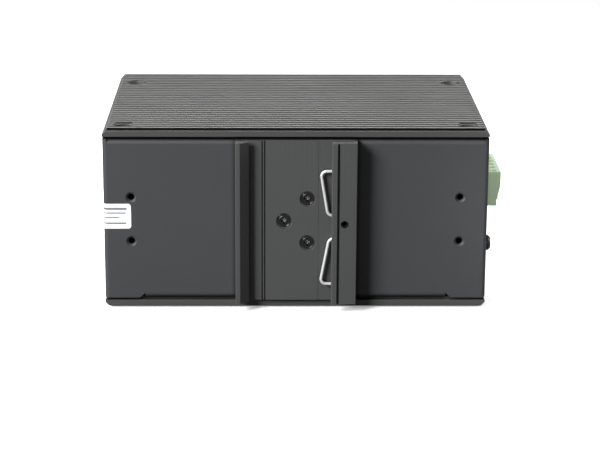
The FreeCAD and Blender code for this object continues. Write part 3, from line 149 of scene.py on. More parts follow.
def build_fine_grain():
    """Tiny bumps at one size."""
    tree, given, out = group_frame(
        "fine_grain",
        [("Vector", VECTOR, None), ("Size mm", NUMBER, 0.5), ("Contrast", NUMBER, 0.1)],
        [("Shade", NUMBER), ("Height", NUMBER)])
    scale = calc(tree, "DIVIDE", 1.0 / MM, given.outputs["Size mm"])
    noise = put(tree, "ShaderNodeTexNoise", {"Vector": given.outputs["Vector"], "Scale": scale,
                                             "Detail": 3.0, "Roughness": 0.6})
    give_pattern(tree, noise, given.outputs["Contrast"], out)
    return tree


fine_grain = build_fine_grain()
print("group:", fine_grain.name)

# %% Lines along one direction
def build_drawn_lines():
    """Long streaks: the noise is squeezed across the draw direction and stretched along it."""
    tree, given, out = group_frame(
        "drawn_lines",
        [("Vector", VECTOR, None), ("Stretch", VECTOR, (1.0, 1.0, 1.0)), ("Contrast", NUMBER, 0.2)],
        [("Shade", NUMBER), ("Height", NUMBER)])
    squeezed = put(tree, "ShaderNodeVectorMath",
                   {0: given.outputs["Vector"], 1: given.outputs["Stretch"]}, operation="MULTIPLY")
    noise = put(tree, "ShaderNodeTexNoise", {"Vector": squeezed.outputs[0], "Scale": 1.0,
                                             "Detail": 4.0, "Roughness": 0.65})
    give_pattern(tree, noise, given.outputs["Contrast"], out)
    return tree


drawn_lines = build_drawn_lines()
print("group:", drawn_lines.name)

# %% Rubbed edges and painted edge highlight
def build_rubbed_edges_and_highlight():
    """A mask along outer edges, broken up by noise: uneven rubbed wear and a painted edge highlight.
    """
    tree, given, out = group_frame(
        "rubbed_edges_and_highlight",
        [("Vector", VECTOR, None), ("Width mm", NUMBER, 0.3), ("Amount", NUMBER, 0.5)],
        [("Mask", NUMBER)])
    radius = calc(tree, "MULTIPLY", given.outputs["Width mm"], MM)
    rounded = put(tree, "ShaderNodeBevel", {"Radius": radius}, samples=4)
    face = put(tree, "ShaderNodeNewGeometry")
    alike = put(tree, "ShaderNodeVectorMath",
                {0: rounded.outputs["Normal"], 1: face.outputs["True Normal"]},
                operation="DOT_PRODUCT")
    edge = remap(tree, alike.outputs["Value"], 0.98, 0.80)  # cosines: off the edge, on the edge
    patches = put(tree, "ShaderNodeTexNoise", {"Vector": given.outputs["Vector"], "Scale": 140.0,
                                               "Detail": 4.0})
    uneven = remap(tree, patches.outputs["Fac"], 0.35, 0.7, 0.25, 1.0)
    both = calc(tree, "MULTIPLY", edge, uneven)
    mask = calc(tree, "MULTIPLY", both, given.outputs["Amount"], clamp=True)
    tree.links.new(mask, out.inputs["Mask"])
    return tree


rubbed_edges_and_highlight = build_rubbed_edges_and_highlight()
print("group:", rubbed_edges_and_highlight.name)

# %% Painted shade in closed-in places
def build_painted_gap_shade():
    """Painted shade: near 1 out in the open and near 0 deep in gaps, slots and the floors of grooves.
    """
    tree, given, out = group_frame(
        "painted_gap_shade",
        [("Reach mm", NUMBER, 2.0), ("Darkest", NUMBER, 0.1)],
        [("Painted shade", NUMBER)])
    reach = calc(tree, "MULTIPLY", given.outputs["Reach mm"], MM)
    around = put(tree, "ShaderNodeAmbientOcclusion", {"Distance": reach}, samples=8)
    painted_shade = remap(tree, around.outputs["AO"], 0.35, 0.85, given.outputs["Darkest"], 1.0)
    tree.links.new(painted_shade, out.inputs["Painted shade"])
    return tree


painted_gap_shade = build_painted_gap_shade()
print("group:", painted_gap_shade.name)

# %% Settled dust and handling marks
def build_settled_dust():
    """A thin mask on faces that look up, in soft patches."""
    tree, given, out = group_frame(
        "settled_dust",
        [("Vector", VECTOR, None), ("Amount", NUMBER, 0.1)],
        [("Mask", NUMBER)])
    face = put(tree, "ShaderNodeNewGeometry")
    upward = put(tree, "ShaderNodeSeparateXYZ", {0: face.outputs["Normal"]}).outputs["Z"]
    patches = put(tree, "ShaderNodeTexNoise", {"Vector": given.outputs["Vector"], "Scale": 35.0,
                                               "Detail": 6.0, "Roughness": 0.7})
    both = calc(tree, "MULTIPLY", remap(tree, upward, 0.3, 1.0),
                remap(tree, patches.outputs["Fac"], 0.3, 0.75))
    tree.links.new(calc(tree, "MULTIPLY", both, given.outputs["Amount"]), out.inputs["Mask"])
    return tree


def build_handling_marks():
    """Slow changes of gloss, as left by hands and cloths."""
    tree, given, out = group_frame(
        "handling_marks",
        [("Vector", VECTOR, None), ("Gloss low", NUMBER, 0.4), ("Gloss high", NUMBER, 0.5)],
        [("Roughness", NUMBER)])
    smear = put(tree, "ShaderNodeTexNoise", {"Vector": given.outputs["Vector"], "Scale": 28.0,
                                             "Detail": 5.0, "Distortion": 0.6})
    rough = remap(tree, smear.outputs["Fac"], 0.25, 0.75, given.outputs["Gloss low"],
                  given.outputs["Gloss high"])
    tree.links.new(rough, out.inputs["Roughness"])
    return tree


settled_dust = build_settled_dust()
handling_marks = build_handling_marks()
print("groups:", settled_dust.name, handling_marks.name)

# %% [markdown]
# ## Putting a finish together
#
# Most finishes here are one Principled shader with a colour that varies a little, a gloss that
# varies a little, and a small bump. The steps of that recipe are written once: start a material,
# place an effect, multiply a colour by a shade, and join everything to the shader.

# %% Recipe helpers
finishes = {}


def start_material(name):
    """A material with its shader, and the point on the piece that every pattern reads."""
    material = bpy.data.materials.new(name)
    material.use_nodes = True
    tree = material.node_tree
    tree.nodes.clear()
    shader = tree.nodes.new("ShaderNodeBsdfPrincipled")
    output = tree.nodes.new("ShaderNodeOutputMaterial")
    tree.links.new(shader.outputs["BSDF"], output.inputs["Surface"])
    point = tree.nodes.new("ShaderNodeTexCoord").outputs["Object"]
    return material, tree, shader, point


def effect(tree, group, sockets):
    """The outputs of one copy of a shared effect, with its own values."""
    return put(tree, "ShaderNodeGroup", sockets, node_tree=group).outputs


def grain_of(tree, point, size_mm, contrast):
    return effect(tree, fine_grain, {"Vector": point, "Size mm": size_mm, "Contrast": contrast})


def lines_of(tree, point, stretch, contrast):
    return effect(tree, drawn_lines, {"Vector": point, "Stretch": stretch, "Contrast": contrast})


def gloss_of(tree, point, low, high):
    marks = effect(tree, handling_marks, {"Vector": point, "Gloss low": low, "Gloss high": high})
    return marks["Roughness"]


# edges made lighter: rubbed wear and a painted highlight
def rubbed_and_highlit(tree, point, width_mm, amount):
    marks = effect(tree, rubbed_edges_and_highlight, {"Vector": point, "Width mm": width_mm, "Amount": amount})
    return marks["Mask"]


def dusty(tree, point, amount):
    return effect(tree, settled_dust, {"Vector": point, "Amount": amount})["Mask"]


# painted shade, darker the more closed in a place is
def painted_gap_shade_of(tree, reach_mm, darkest):
    return effect(tree, painted_gap_shade, {"Reach mm": reach_mm, "Darkest": darkest})["Painted shade"]


def as_colour(value):
    """A plain (red, green, blue) with its alpha; an output passes as it is."""
    return value if isinstance(value, bpy.types.NodeSocket) else (*value, 1.0)


def shaded(tree, colour, *shades):
    """The colour times each value near 1."""
    for shade in shades:
        colour = put(tree, "ShaderNodeMix", {0: 1.0, 6: as_colour(colour), 7: shade},
                     data_type="RGBA", blend_type="MULTIPLY").outputs[2]
    return colour


def mixed(tree, colour, other, mask):
    """The colour where the mask is 0 and the other where it is 1."""
    return put(tree, "ShaderNodeMix", {0: mask, 6: as_colour(colour), 7: as_colour(other)},
               data_type="RGBA").outputs[2]


def bumped(tree, height, depth_mm, strength):
    """A normal from a height map of that depth."""
    return put(tree, "ShaderNodeBump", {"Height": height, "Distance": depth_mm * MM,
                                        "Strength": strength}).outputs[0]


def keep_finish(name, material, shader, links, constants=None):
    """Links the shader's inputs, sets its constants and files the material under the name."""
    for socket, source in links.items():
        material.node_tree.links.new(source, shader.inputs[socket])
    for socket, value in (constants or {}).items():
        shader.inputs[socket].default_value = value
    finishes[name] = material


print("recipe helpers ready")

# %% [markdown]
# ## Coated steel and anodised aluminium
#
# The case is steel with a fine black powder coat. Its skin is slightly lumpy like orange peel and
# scatters light, so it looks dark grey in a bright studio. The side panels and the rail clip are
# anodised aluminium: the dye is about as dark, but the faint lines of the extrusion show through it.
# Both skins are clear of metal, so neither shader is metallic. What tells them apart is the marks
# and the gloss.
#
# Gaps between the pieces stay nearly black, because little light gets in and what does is soaked up
# by dark walls. That shade is painted: how open a place is, taken from its surroundings, darkens
# colour and gloss there. The ledges beside the outer ribs and the clip's end faces, which look up and
# down, are darkened with painted shade as well.

# %% Powder coat
paint_dust = (0.32, 0.31, 0.29)
rubbed_and_highlit_paint = 2.2  # times as light as the paint beside it, as rubbed wear and a painted edge highlight


def powder_coat(name, colour):
    """Black paint with orange peel, edges with rubbed wear and a painted highlight, painted shade in
    gaps and a trace of dust.
    """
    material, tree, shader, point = start_material(name)
    peel = grain_of(tree, point, 0.45, 0.35)
    cloud = grain_of(tree, point, 14.0, 0.10)
    tone = shaded(tree, colour, peel["Shade"], cloud["Shade"])
    tone = mixed(tree, tone, [c * rubbed_and_highlit_paint for c in colour], rubbed_and_highlit(tree, point, 0.35, 0.35))
    tone = mixed(tree, tone, paint_dust, dusty(tree, point, 0.05))
    # painted shade darkens colour and gloss in gaps and grooves
    painted_shade = painted_gap_shade_of(tree, 3.0, 0.1)
    keep_finish(name, material, shader, {
        "Base Color": shaded(tree, tone, painted_shade),
        "Roughness": gloss_of(tree, point, 0.50, 0.58),
        "Specular IOR Level": calc(tree, "MULTIPLY", painted_shade, 0.45),
        "Normal": bumped(tree, peel["Height"], 0.02, 0.35)})


powder_coat("chassis_paint", (0.044, 0.046, 0.049))
powder_coat("nut_paint", (0.050, 0.052, 0.055))
print("finish: powder coat")

# %% Anodised extrusions
metal_dust = (0.34, 0.33, 0.30)
rubbed_and_highlit_metal = 2.4  # times as light as the dye beside it, as rubbed wear and a painted edge highlight
ledge_shade = 0.12  # how light a shaded ledge stays
end_face_shade = 0.30  # how light the painted shade leaves an end face that looks up or down
ledge_mm = 2.1  # width of the ledge outside the first and last rib
rib_mm = 0.85  # how high the ribs stand over it
ledge_margin_mm = 0.12


def between(tree, value, low, high):
    """1 where the value is between the two and 0 elsewhere."""
    return calc(tree, "COMPARE", value, (low + high) / 2, (high - low) / 2)


def outer_ledges(tree, point, node):
    """A mask over the ledges outside the first and last rib, which lie in the ribs' shade."""
    low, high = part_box(node)
    place = put(tree, "ShaderNodeSeparateXYZ", {0: point}).outputs
    crest = max(abs(low[2]), abs(high[2]))
    step = between(tree, calc(tree, "ABSOLUTE", place["Z"]), crest - (rib_mm + 0.05) * MM,
                   crest - 0.15 * MM)
    reach, margin = (ledge_mm + 0.1) * MM, ledge_margin_mm * MM
    rear = between(tree, place["Y"], low[1] + margin, low[1] + reach)
    front = between(tree, place["Y"], high[1] - reach, high[1] - margin)
    return calc(tree, "MULTIPLY", step, calc(tree, "MAXIMUM", rear, front))


def upright(tree):
    """How far a face looks straight up or down, from 0 to 1."""
    normal = put(tree, "ShaderNodeNewGeometry").outputs["Normal"]
    return calc(tree, "ABSOLUTE", put(tree, "ShaderNodeSeparateXYZ", {0: normal}).outputs["Z"])


def anodised(name, colour, stretch, gloss, darkest, shade_end_faces=False, ledges_of=None):
    """Dyed and sealed aluminium, with the extrusion's lines along one axis."""
    material, tree, shader, point = start_material(name)
    lines = lines_of(tree, point, stretch, 0.5)
    grain = grain_of(tree, point, 0.25, 0.25)
    tone = shaded(tree, colour, lines["Shade"], grain["Shade"])
    # edges made lighter: rubbed wear and a painted highlight
    tone = mixed(tree, tone, [c * rubbed_and_highlit_metal for c in colour], rubbed_and_highlit(tree, point, 0.3, 0.5))
    tone = mixed(tree, tone, metal_dust, dusty(tree, point, 0.10))
    # painted shade in gaps, then on the ledges and on end faces that look up or down
    painted_shade = painted_gap_shade_of(tree, 1.6, darkest)
    if ledges_of:
        shade = remap(tree, outer_ledges(tree, point, ledges_of), 0.0, 1.0, 1.0, ledge_shade)
        painted_shade = calc(tree, "MULTIPLY", painted_shade, shade)
    if shade_end_faces:
        # painted shade: the clip's faces that look up or down, its cut ends, are darkened
        end_shade = remap(tree, upright(tree), 0.7, 0.95, 1.0, end_face_shade)
        painted_shade = calc(tree, "MULTIPLY", painted_shade, end_shade)
    height = calc(tree, "ADD", lines["Height"], grain["Height"])
    keep_finish(name, material, shader, {
        "Base Color": shaded(tree, tone, painted_shade),
        "Roughness": gloss_of(tree, point, *gloss),
        "Specular IOR Level": calc(tree, "MULTIPLY", painted_shade, 0.55),
        "Normal": bumped(tree, height, 0.01, 0.3)})


along_x = (6.0, 2600.0, 2600.0)
along_z = (2600.0, 2600.0, 6.0)
anodised("panel_aluminium", (0.054, 0.054, 0.053), along_x, (0.46, 0.54), 0.08,
         ledges_of="upper_side_panel")
anodised("clip_aluminium", (0.0535, 0.0560, 0.0545), along_z, (0.48, 0.56), 0.30, shade_end_faces=True)
print("finish: anodised panels and clip")

# %% [markdown]
# ## Bare and plated metals
#
# The heat block is milled aluminium, the nuts and spacers are zinc plated, the port shields are tin
# plated, and the spring is drawn wire. They have nearly the same shader. What separates them to the
# eye is the direction and depth of their marks, so each takes the line group with its own stretch.
# The screws are blackened and the wire is plated white, so these two are less than fully metallic.

# %% Metals
def bare_metal(name, colour, stretch, gloss, depth_mm=0.004, metallic=1.0):
    """Metal with marks along one direction, or in every direction when the stretch is even."""
    material, tree, shader, point = start_material(name)
    lines = lines_of(tree, point, stretch, 0.22)
    keep_finish(name, material, shader, {
        "Base Color": shaded(tree, colour, lines["Shade"]),
        "Roughness": gloss_of(tree, point, *gloss),
        "Normal": bumped(tree, lines["Height"], depth_mm, 0.4)}, {"Metallic": metallic})


even = (1500.0, 1500.0, 1500.0)
bare_metal("black_screw_steel", (0.010, 0.010, 0.011), even, (0.22, 0.32), metallic=0.0)
bare_metal("plated_steel", (0.62, 0.62, 0.59), even, (0.26, 0.40))
bare_metal("spring_steel", (0.82, 0.82, 0.81), (900.0, 900.0, 60.0), (0.34, 0.44), 0.002,
           metallic=0.55)
# a pale grey that paints a glint on the feet of the cross recesses
bare_metal("worn_seat", (0.80, 0.80, 0.78), even, (0.50, 0.60), metallic=0.3)
bare_metal("port_steel", (0.70, 0.70, 0.67), (1800.0, 20.0, 1800.0), (0.24, 0.36))
bare_metal("bare_aluminium", (0.78, 0.79, 0.80), (40.0, 2000.0, 2000.0), (0.28, 0.40))
bare_metal("contact_metal", (0.85, 0.62, 0.26), even, (0.18, 0.28), 0.001)
print("finishes so far:", len(finishes))

# %% [markdown]
# ## Moulded plastics, rubber and ferrite
#
# Moulded parts copy the eroded surface of their tool: a very fine, even texture. Slow changes of
# tone come from how the plastic flowed. One recipe serves the connectors, the packages, the relay
# and the lamps, and only colour, gloss and grain size change. Pale plastic also lets light in and
# out again under its skin, so the green connector and the lamp lenses get some subsurface.

# %% Moulded and pressed finishes
def moulded(name, colour, gloss, grain_mm=0.18, depth_mm=0.01, contrast=0.14, constants=None):
    """Plastic, rubber or pressed powder."""
    material, tree, shader, point = start_material(name)
    grain = grain_of(tree, point, grain_mm, contrast)
    flow = grain_of(tree, point, 6.0, 0.10)
    keep_finish(name, material, shader, {
        "Base Color": shaded(tree, colour, grain["Shade"], flow["Shade"]),
        "Roughness": gloss_of(tree, point, *gloss),
        "Normal": bumped(tree, grain["Height"], depth_mm, 0.4)}, constants)


moulded("connector_green", (0.50, 0.64, 0.44), (0.36, 0.46), constants={
    "Subsurface Weight": 0.6, "Subsurface Radius": (1.0, 1.2, 0.9), "Subsurface Scale": 0.003})
moulded("black_plastic", (0.022, 0.022, 0.024), (0.38, 0.50))
moulded("chip_plastic", (0.030, 0.030, 0.032), (0.55, 0.68), grain_mm=0.10)
moulded("pad_rubber", (0.42, 0.47, 0.53), (0.70, 0.80), grain_mm=0.4)
moulded("ferrite", (0.070, 0.070, 0.076), (0.50, 0.62), grain_mm=0.35, depth_mm=0.03, contrast=0.3)
moulded("can_sleeve", (0.035, 0.038, 0.070), (0.28, 0.36), grain_mm=0.8)
moulded("relay_plastic", (0.72, 0.42, 0.10), (0.30, 0.42))
moulded("button_plastic", (0.045, 0.045, 0.047), (0.42, 0.52))
moulded("lamp_plastic", (0.30, 0.62, 0.24), (0.12, 0.20), grain_mm=0.5, depth_mm=0.002, constants={
    "Subsurface Weight": 0.35, "Subsurface Radius": (0.001, 0.002, 0.001)})
moulded("choke_coating", (0.045, 0.26, 0.12), (0.34, 0.44), grain_mm=0.5, depth_mm=0.03)
print("finishes so far:", len(finishes))

# %% [markdown]
# ## The seal
#
# A white film seal lies over one corner of the case, so that opening the case tears it. Its print is
# kept as plain grey bars. The bars could be thin strips of mesh, but print has no thickness. A mask
# made from the position is lighter: each bar is a band of height, cut off where its line ends.

# %% Seal film with plain bars
seal_low, seal_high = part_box("seal_label")
seal_height = seal_high[2] - seal_low[2]
seal_width = seal_high[0] - seal_low[0]
film_white, bar_grey = (0.88, 0.88, 0.87), (0.16, 0.17, 0.19)
# each bar: height up the seal, thickness, where it ends across, all as shares of the seal
seal_bars = [(0.80, 0.080, 0.84), (0.63, 0.045, 0.80), (0.45, 0.045, 0.58), (0.22, 0.060, 0.82)]


def bar_mask(tree, place, level, thickness, end):
    """1 inside one bar; the same end cuts it off on the back and round the corner."""
    centre = seal_low[2] + level * seal_height
    band = calc(tree, "COMPARE", place["Z"], centre, thickness * seal_height / 2)
    across = calc(tree, "LESS_THAN", place["X"], seal_low[0] + end * seal_width)
    round_corner = calc(tree, "LESS_THAN", place["Y"], seal_low[1] + end * seal_width)
    return calc(tree, "MULTIPLY", band, calc(tree, "MULTIPLY", across, round_corner))


def seal_film(name):
    """White film with faded bars."""
    material, tree, shader, point = start_material(name)
    place = put(tree, "ShaderNodeSeparateXYZ", {0: point}).outputs
    print_mask = bar_mask(tree, place, *seal_bars[0])
    for bar in seal_bars[1:]:
        print_mask = calc(tree, "MAXIMUM", print_mask, bar_mask(tree, place, *bar))
    ink = grain_of(tree, point, 0.5, 1.2)
    faded = calc(tree, "MULTIPLY", print_mask, ink["Shade"], clamp=True)
    paper = grain_of(tree, point, 0.12, 0.06)
    keep_finish(name, material, shader, {
        "Base Color": mixed(tree, shaded(tree, film_white, paper["Shade"]), bar_grey, faded),
        "Roughness": gloss_of(tree, point, 0.45, 0.6),
        "Normal": bumped(tree, paper["Height"], 0.005, 0.3)})


seal_film("label_paper")
print("seal, mm:", round(seal_width / MM, 1), "x", round(seal_height / MM, 1))

# %% [markdown]
# ## Circuit boards
#
# Solder mask over copper shows the tracks as slightly lighter, slightly raised lines with tinned
# dots where they change layers. Drawing a real layout would be thousands of lines. Two brick
# patterns of long thin cells give runs of parallel tracks, and a cell pattern decides which way
# they run in each area.

# %% Board with tracks and plated holes
bare_mask, track_mask, tinned = (0.010, 0.120, 0.045), (0.030, 0.230, 0.085), (0.62, 0.60, 0.50)
hole_radius = 0.11  # as a share of a dot's cell


def track_runs(tree, point, cell_length):
    """Parallel tracks along the first axis of the point."""
    return put(tree, "ShaderNodeTexBrick", {
        "Vector": point, "Scale": 60.0, "Mortar Size": 0.012, "Brick Width": cell_length,
        "Row Height": 0.07, "Bias": 0.0}).outputs["Fac"]


def circuit_board(name):
    """Green solder mask over tracks, with plated holes."""
    material, tree, shader, point = start_material(name)
    across = put(tree, "ShaderNodeMapping", {"Vector": point, "Rotation": (0.0, 0.0, math.pi / 2)})
    areas = put(tree, "ShaderNodeTexVoronoi", {"Vector": point, "Scale": 45.0}, feature="F1",
                distance="CHEBYCHEV")
    pick = put(tree, "ShaderNodeSeparateColor", {0: areas.outputs["Color"]})
    tracks = put(tree, "ShaderNodeMix", {
        0: calc(tree, "GREATER_THAN", pick.outputs[0], 0.5),
        2: track_runs(tree, point, 0.9),
        3: track_runs(tree, across.outputs[0], 0.7)}, data_type="FLOAT").outputs[0]
    dots = put(tree, "ShaderNodeTexVoronoi", {"Vector": point, "Scale": 320.0, "Randomness": 0.9},
               feature="F1")
    hole = calc(tree, "LESS_THAN", dots.outputs["Distance"], hole_radius)
    keep_finish(name, material, shader, {
        "Base Color": mixed(tree, mixed(tree, bare_mask, track_mask, tracks), tinned, hole),
        "Metallic": hole,
        "Roughness": gloss_of(tree, point, 0.22, 0.34),
        "Normal": bumped(tree, calc(tree, "MAXIMUM", tracks, hole), 0.03, 0.5)})


circuit_board("circuit_board")
print("finish: circuit board")

# %% [markdown]
# ## Glass of the fuses
#
# A fuse is a glass tube with plated caps. Glass keeps a plain transmission, which every renderer
# understands.

# %% Fuse glass
def fuse_glass(name):
    """Clear glass with faint draw lines in its colour."""
    material, tree, shader, point = start_material(name)
    lines = lines_of(tree, point, (30.0, 1500.0, 1500.0), 0.1)
    keep_finish(name, material, shader, {
        "Base Color": shaded(tree, (0.93, 0.96, 0.95), lines["Shade"]),
        "Roughness": gloss_of(tree, point, 0.03, 0.08)}, {"Transmission Weight": 0.9, "IOR": 1.47})


fuse_glass("fuse_glass")
missing = sorted(set(slot_of_node.values()) - set(finishes))
print("finishes:", len(finishes), "slots without one:", missing)

# %% [markdown]
# ## Dressing the frame's own solids
#
# The CAD solids are exact, so most pieces keep their shape. What they lack is the small round that
# every folded, moulded or extruded edge has: a perfect corner catches no light. Each piece is copied,
# its loose triangles are merged back into flat faces, and every sharp edge gets a narrow bevel. A
# weighted normal then keeps the flats flat while the bevels shade round. Faces that are narrower than
# the bevels need keep their edges, since a bevel there would turn the face inside out.

# %% Copy with softened edges
same_point_mm = 0.001
flat_angle = math.radians(0.5)
sharp_angle = math.radians(35.0)
thin_face = 2.5  # bevel widths; a face that is narrower keeps its edges


def merged_mesh(node):
    """The node's mesh with its doubled points merged."""
    bm = bmesh.new()
    bm.from_mesh(frame["nodes"][node].data)
    bmesh.ops.remove_doubles(bm, verts=bm.verts, dist=same_point_mm * MM)
    return bm


def finish_piece(name, bm, node, smooth_below=sharp_angle):
    """Turns a bmesh into a shown piece that rides with its node's body and takes its finish."""
    for face in bm.faces:
        face.smooth = True
    for edge in bm.edges:
        edge.smooth = len(edge.link_faces) == 2 and edge.calc_face_angle(0.0) < smooth_below
    mesh = bpy.data.meshes.new(name)
    bm.to_mesh(mesh)
    bm.free()
    piece = bpy.data.objects.new(name, mesh)
    bpy.context.scene.collection.objects.link(piece)
    slot = slot_of_node[node]
    mesh.materials.append(finishes[slot])
    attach(piece, body_of_node[node])
    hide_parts(node)
    return piece


def soften(node, width_mm):
    """A dressed copy of a CAD node, with its sharp edges bevelled."""
    bm = merged_mesh(node)
    bmesh.ops.dissolve_limit(bm, angle_limit=flat_angle, verts=bm.verts, edges=bm.edges)

    def thin(face):
        longest = max(edge.calc_length() for edge in face.edges)
        return face.calc_area() < thin_face * width_mm * MM * longest

    def sharp(edge):
        return (len(edge.link_faces) == 2 and edge.calc_face_angle(0.0) > sharp_angle
                and not any(thin(face) for face in edge.link_faces))

    bmesh.ops.bevel(bm, geom=[edge for edge in bm.edges if sharp(edge)], offset=width_mm * MM,
                    offset_type="OFFSET", segments=2, profile=0.5, affect="EDGES",
                    clamp_overlap=False, material=-1)
    piece = finish_piece(node + "_dressed", bm, node)
    keep_flat = piece.modifiers.new("flat faces", "WEIGHTED_NORMAL")
    keep_flat.keep_sharp = True
    return piece


edge_round_mm = {
    "chassis_shell": 0.12, "front_panel": 0.12, "din_clip": 0.15,
    "upper_side_panel": 0.12, "lower_side_panel": 0.12,
    "terminal_plug": 0.12, "terminal_header": 0.12,
    "port_shield_1": 0.06, "port_shield_2": 0.06, "port_shield_3": 0.06, "port_shield_4": 0.06,
    "console_shield": 0.06, "optics_cage_1": 0.06, "optics_cage_2": 0.06,
}
dressed = {node: soften(node, width) for node, width in edge_round_mm.items()}
for node, piece in dressed.items():
    print(node, "faces", len(piece.data.polygons))

# %% [markdown]
# ## Screws, nuts and the pin
#
# A screw head is what the eye rests on in a plain black wall. The CAD screws are right in size and
# place, but a turned head also has a rounded rim, a faint ring left by the lathe and a cross with
# sloping walls, whose foot gets a pale painted glint. Each solid of a CAD node is found as one island
# of its mesh, and a finer piece is turned round the same axis.

# %% Find the solids of a node
def solids_of(node):
    """The lowest and highest corner of each separate solid in a node, in the order of its mesh."""
    bm = merged_mesh(node)
    seen, found = set(), []
    for start in bm.verts:
        if start in seen:
            continue
        seen.add(start)
        island = [start]
        for vert in island:  # the list grows while it is read, until the island is complete
            for edge in vert.link_edges:
                near = edge.other_vert(vert)
                if near not in seen:
                    seen.add(near)
                    island.append(near)
        low = Vector([min(vert.co[i] for vert in island) for i in range(3)])
        high = Vector([max(vert.co[i] for vert in island) for i in range(3)])
        found.append((low, high))
    bm.free()
    return found


def facing(low, high, axis):
    """A placement in the middle of the outer face, whose Z runs out of the head along the axis."""
    axis = Vector(axis)
    place = (low + high) / 2
    for i in range(3):
        if axis[i]:
            place[i] = high[i] if axis[i] > 0 else low[i]
    return Matrix.Translation(place) @ axis.to_track_quat("Z", "Y").to_matrix().to_4x4()


print("clip screws found:", len(solids_of("clip_screws")))

# %% Turned parts and driven heads
turn_steps = 40
cross_reach, cross_half_width, cross_depth = 1.55, 0.42, 1.15  # its mouth, and how deep it goes
foot_reach, foot_width = 0.55, 0.6  # the foot of the cross, as shares of its mouth
mouth_rounding, foot_rounding = 0.12, 0.05
meeting_point_mm = 0.002
turned_smooth_angle = math.radians(25.0)
sort_weights = Vector((1.0, math.sqrt(3.0), math.pi))  # uneven, so that no two places tie


def turned(bm, profile, place):
    """Spins (radius, height) points, in mm, round the placement's Z; open ends stay open."""
    before = set(bm.verts)
    verts = [bm.verts.new((r * MM, 0.0, h * MM)) for r, h in profile]
    edges = [bm.edges.new(pair) for pair in zip(verts, verts[1:])]
    bmesh.ops.spin(bm, geom=verts + edges, cent=(0, 0, 0), axis=(0, 0, 1), angle=math.tau,
                   steps=turn_steps, use_merge=True)
    bmesh.ops.transform(bm, matrix=place, verts=[vert for vert in bm.verts if vert not in before])


def cross_outline(reach, half_width, rounding):
    """Corner points of a cross recess, with the arm tips cut back."""
    arm = [(reach, -half_width + rounding), (reach, half_width - rounding),
           (reach - rounding, half_width), (half_width + rounding, half_width),
           (half_width, half_width + rounding)]
    points = []
    for turn in range(4):
        c, s = round(math.cos(turn * math.pi / 2)), round(math.sin(turn * math.pi / 2))
        points += [(c * x - s * y, s * x + c * y) for x, y in arm]
    return points


def driven_face(bm, radius, place):
    """The flat of a head round its cross recess, and the recess with sloping walls."""
    angles = [math.tau * i / turn_steps for i in range(turn_steps)]
    rim = [(radius * math.cos(angle), radius * math.sin(angle)) for angle in angles]
    mouth = cross_outline(cross_reach, cross_half_width, mouth_rounding)
    foot = cross_outline(cross_reach * foot_reach, cross_half_width * foot_width, foot_rounding)
    rings = [[Vector((x * MM, y * MM, h * MM)) for x, y in ring]
             for ring, h in ((rim, 0.0), (mouth, 0.0), (foot, -cross_depth))]
    rim_verts, mouth_verts, foot_verts = [[bm.verts.new(place @ point) for point in ring]
                                          for ring in rings]
    flat = rim_verts + mouth_verts
    for corners in tessellate_polygon([rings[0], rings[1]]):
        bm.faces.new([flat[i] for i in corners])
    for i in range(len(mouth)):
        j = (i + 1) % len(mouth)
        bm.faces.new((mouth_verts[i], mouth_verts[j], foot_verts[j], foot_verts[i]))
    # the foot takes the second material, a painted glint
    bm.faces.new(foot_verts).material_index = 1


def finish_turned(bm, node):
    """Closes the seams between turned parts and shows them in place of the node."""
    bmesh.ops.remove_doubles(bm, verts=bm.verts, dist=meeting_point_mm * MM)
    bmesh.ops.recalc_face_normals(bm, faces=bm.faces)
    # spin makes its elements in no fixed order, so they are sorted by their place
    bm.verts.sort(key=lambda vert: vert.co.dot(sort_weights))
    bm.faces.sort(key=lambda face: face.calc_center_median().dot(sort_weights))
    return finish_piece(node + "_turned", bm, node, turned_smooth_angle)


print("corners in a cross recess:", len(cross_outline(cross_reach, cross_half_width, mouth_rounding)))

# %% Countersunk screws
face_radius = 2.02  # of the flat inside the lathe's ring
ring_inner, ring_outer, ring_end, ring_depth = 2.10, 2.22, 2.30, 0.05
head_height = 1.75
shank_radius, point_radius, point_length = 1.5, 1.2, 0.3


def countersunk_screws(node, axes):
    """Finer screws for a node; axes gives the way a head faces from its solid's lowest corner."""
    bm = bmesh.new()
    for low, high in solids_of(node):
        axis = axes(low)
        place = facing(low, high, axis)
        length = abs((high - low).dot(Vector(axis))) / MM
        radius = max((high - low)[i] for i in range(3) if not axis[i]) / MM / 2
        ring = [(face_radius, 0.0), (ring_inner, -ring_depth), (ring_outer, -ring_depth),
                (ring_end, 0.0)]
        rim = [(radius - 0.14, 0.0), (radius - 0.04, -0.05), (radius, -0.16), (radius, -0.28)]
        shank = [(shank_radius, -head_height), (shank_radius, -length + point_length),
                 (point_radius, -length), (0.0, -length)]
        turned(bm, ring + rim + shank, place)
        driven_face(bm, face_radius, place)
    piece = finish_turned(bm, node)
    # second material: the painted glint at the foot of each cross
    piece.data.materials.append(finishes["worn_seat"])
    return piece


head_directions = {
    "clip_screws": lambda low: (0, -1, 0),
    "upper_panel_screws": lambda low: (0, 0, 1),
    "lower_panel_screws": lambda low: (0, 0, -1),
    "front_panel_screws": lambda low: (1 if low[0] > 0 else -1, 0, 0),
}
remade = {node: countersunk_screws(node, axes) for node, axes in head_directions.items()}
for node, piece in remade.items():
    print(node, "faces", len(piece.data.polygons))

# %% Nuts for the wall plates
bore_radius, mouth_radius, shank_in_wall = 1.3, 2.04, 2.1
wall_mm = 1.2  # sheet that the nuts are pressed into
nut_chamfer = 0.2
mouth_step = 0.2  # from the bore to the start of the dished mouth
bore_top, mouth_foot, lip_sink = 0.75, 0.55, 0.04  # below the wall's outer face


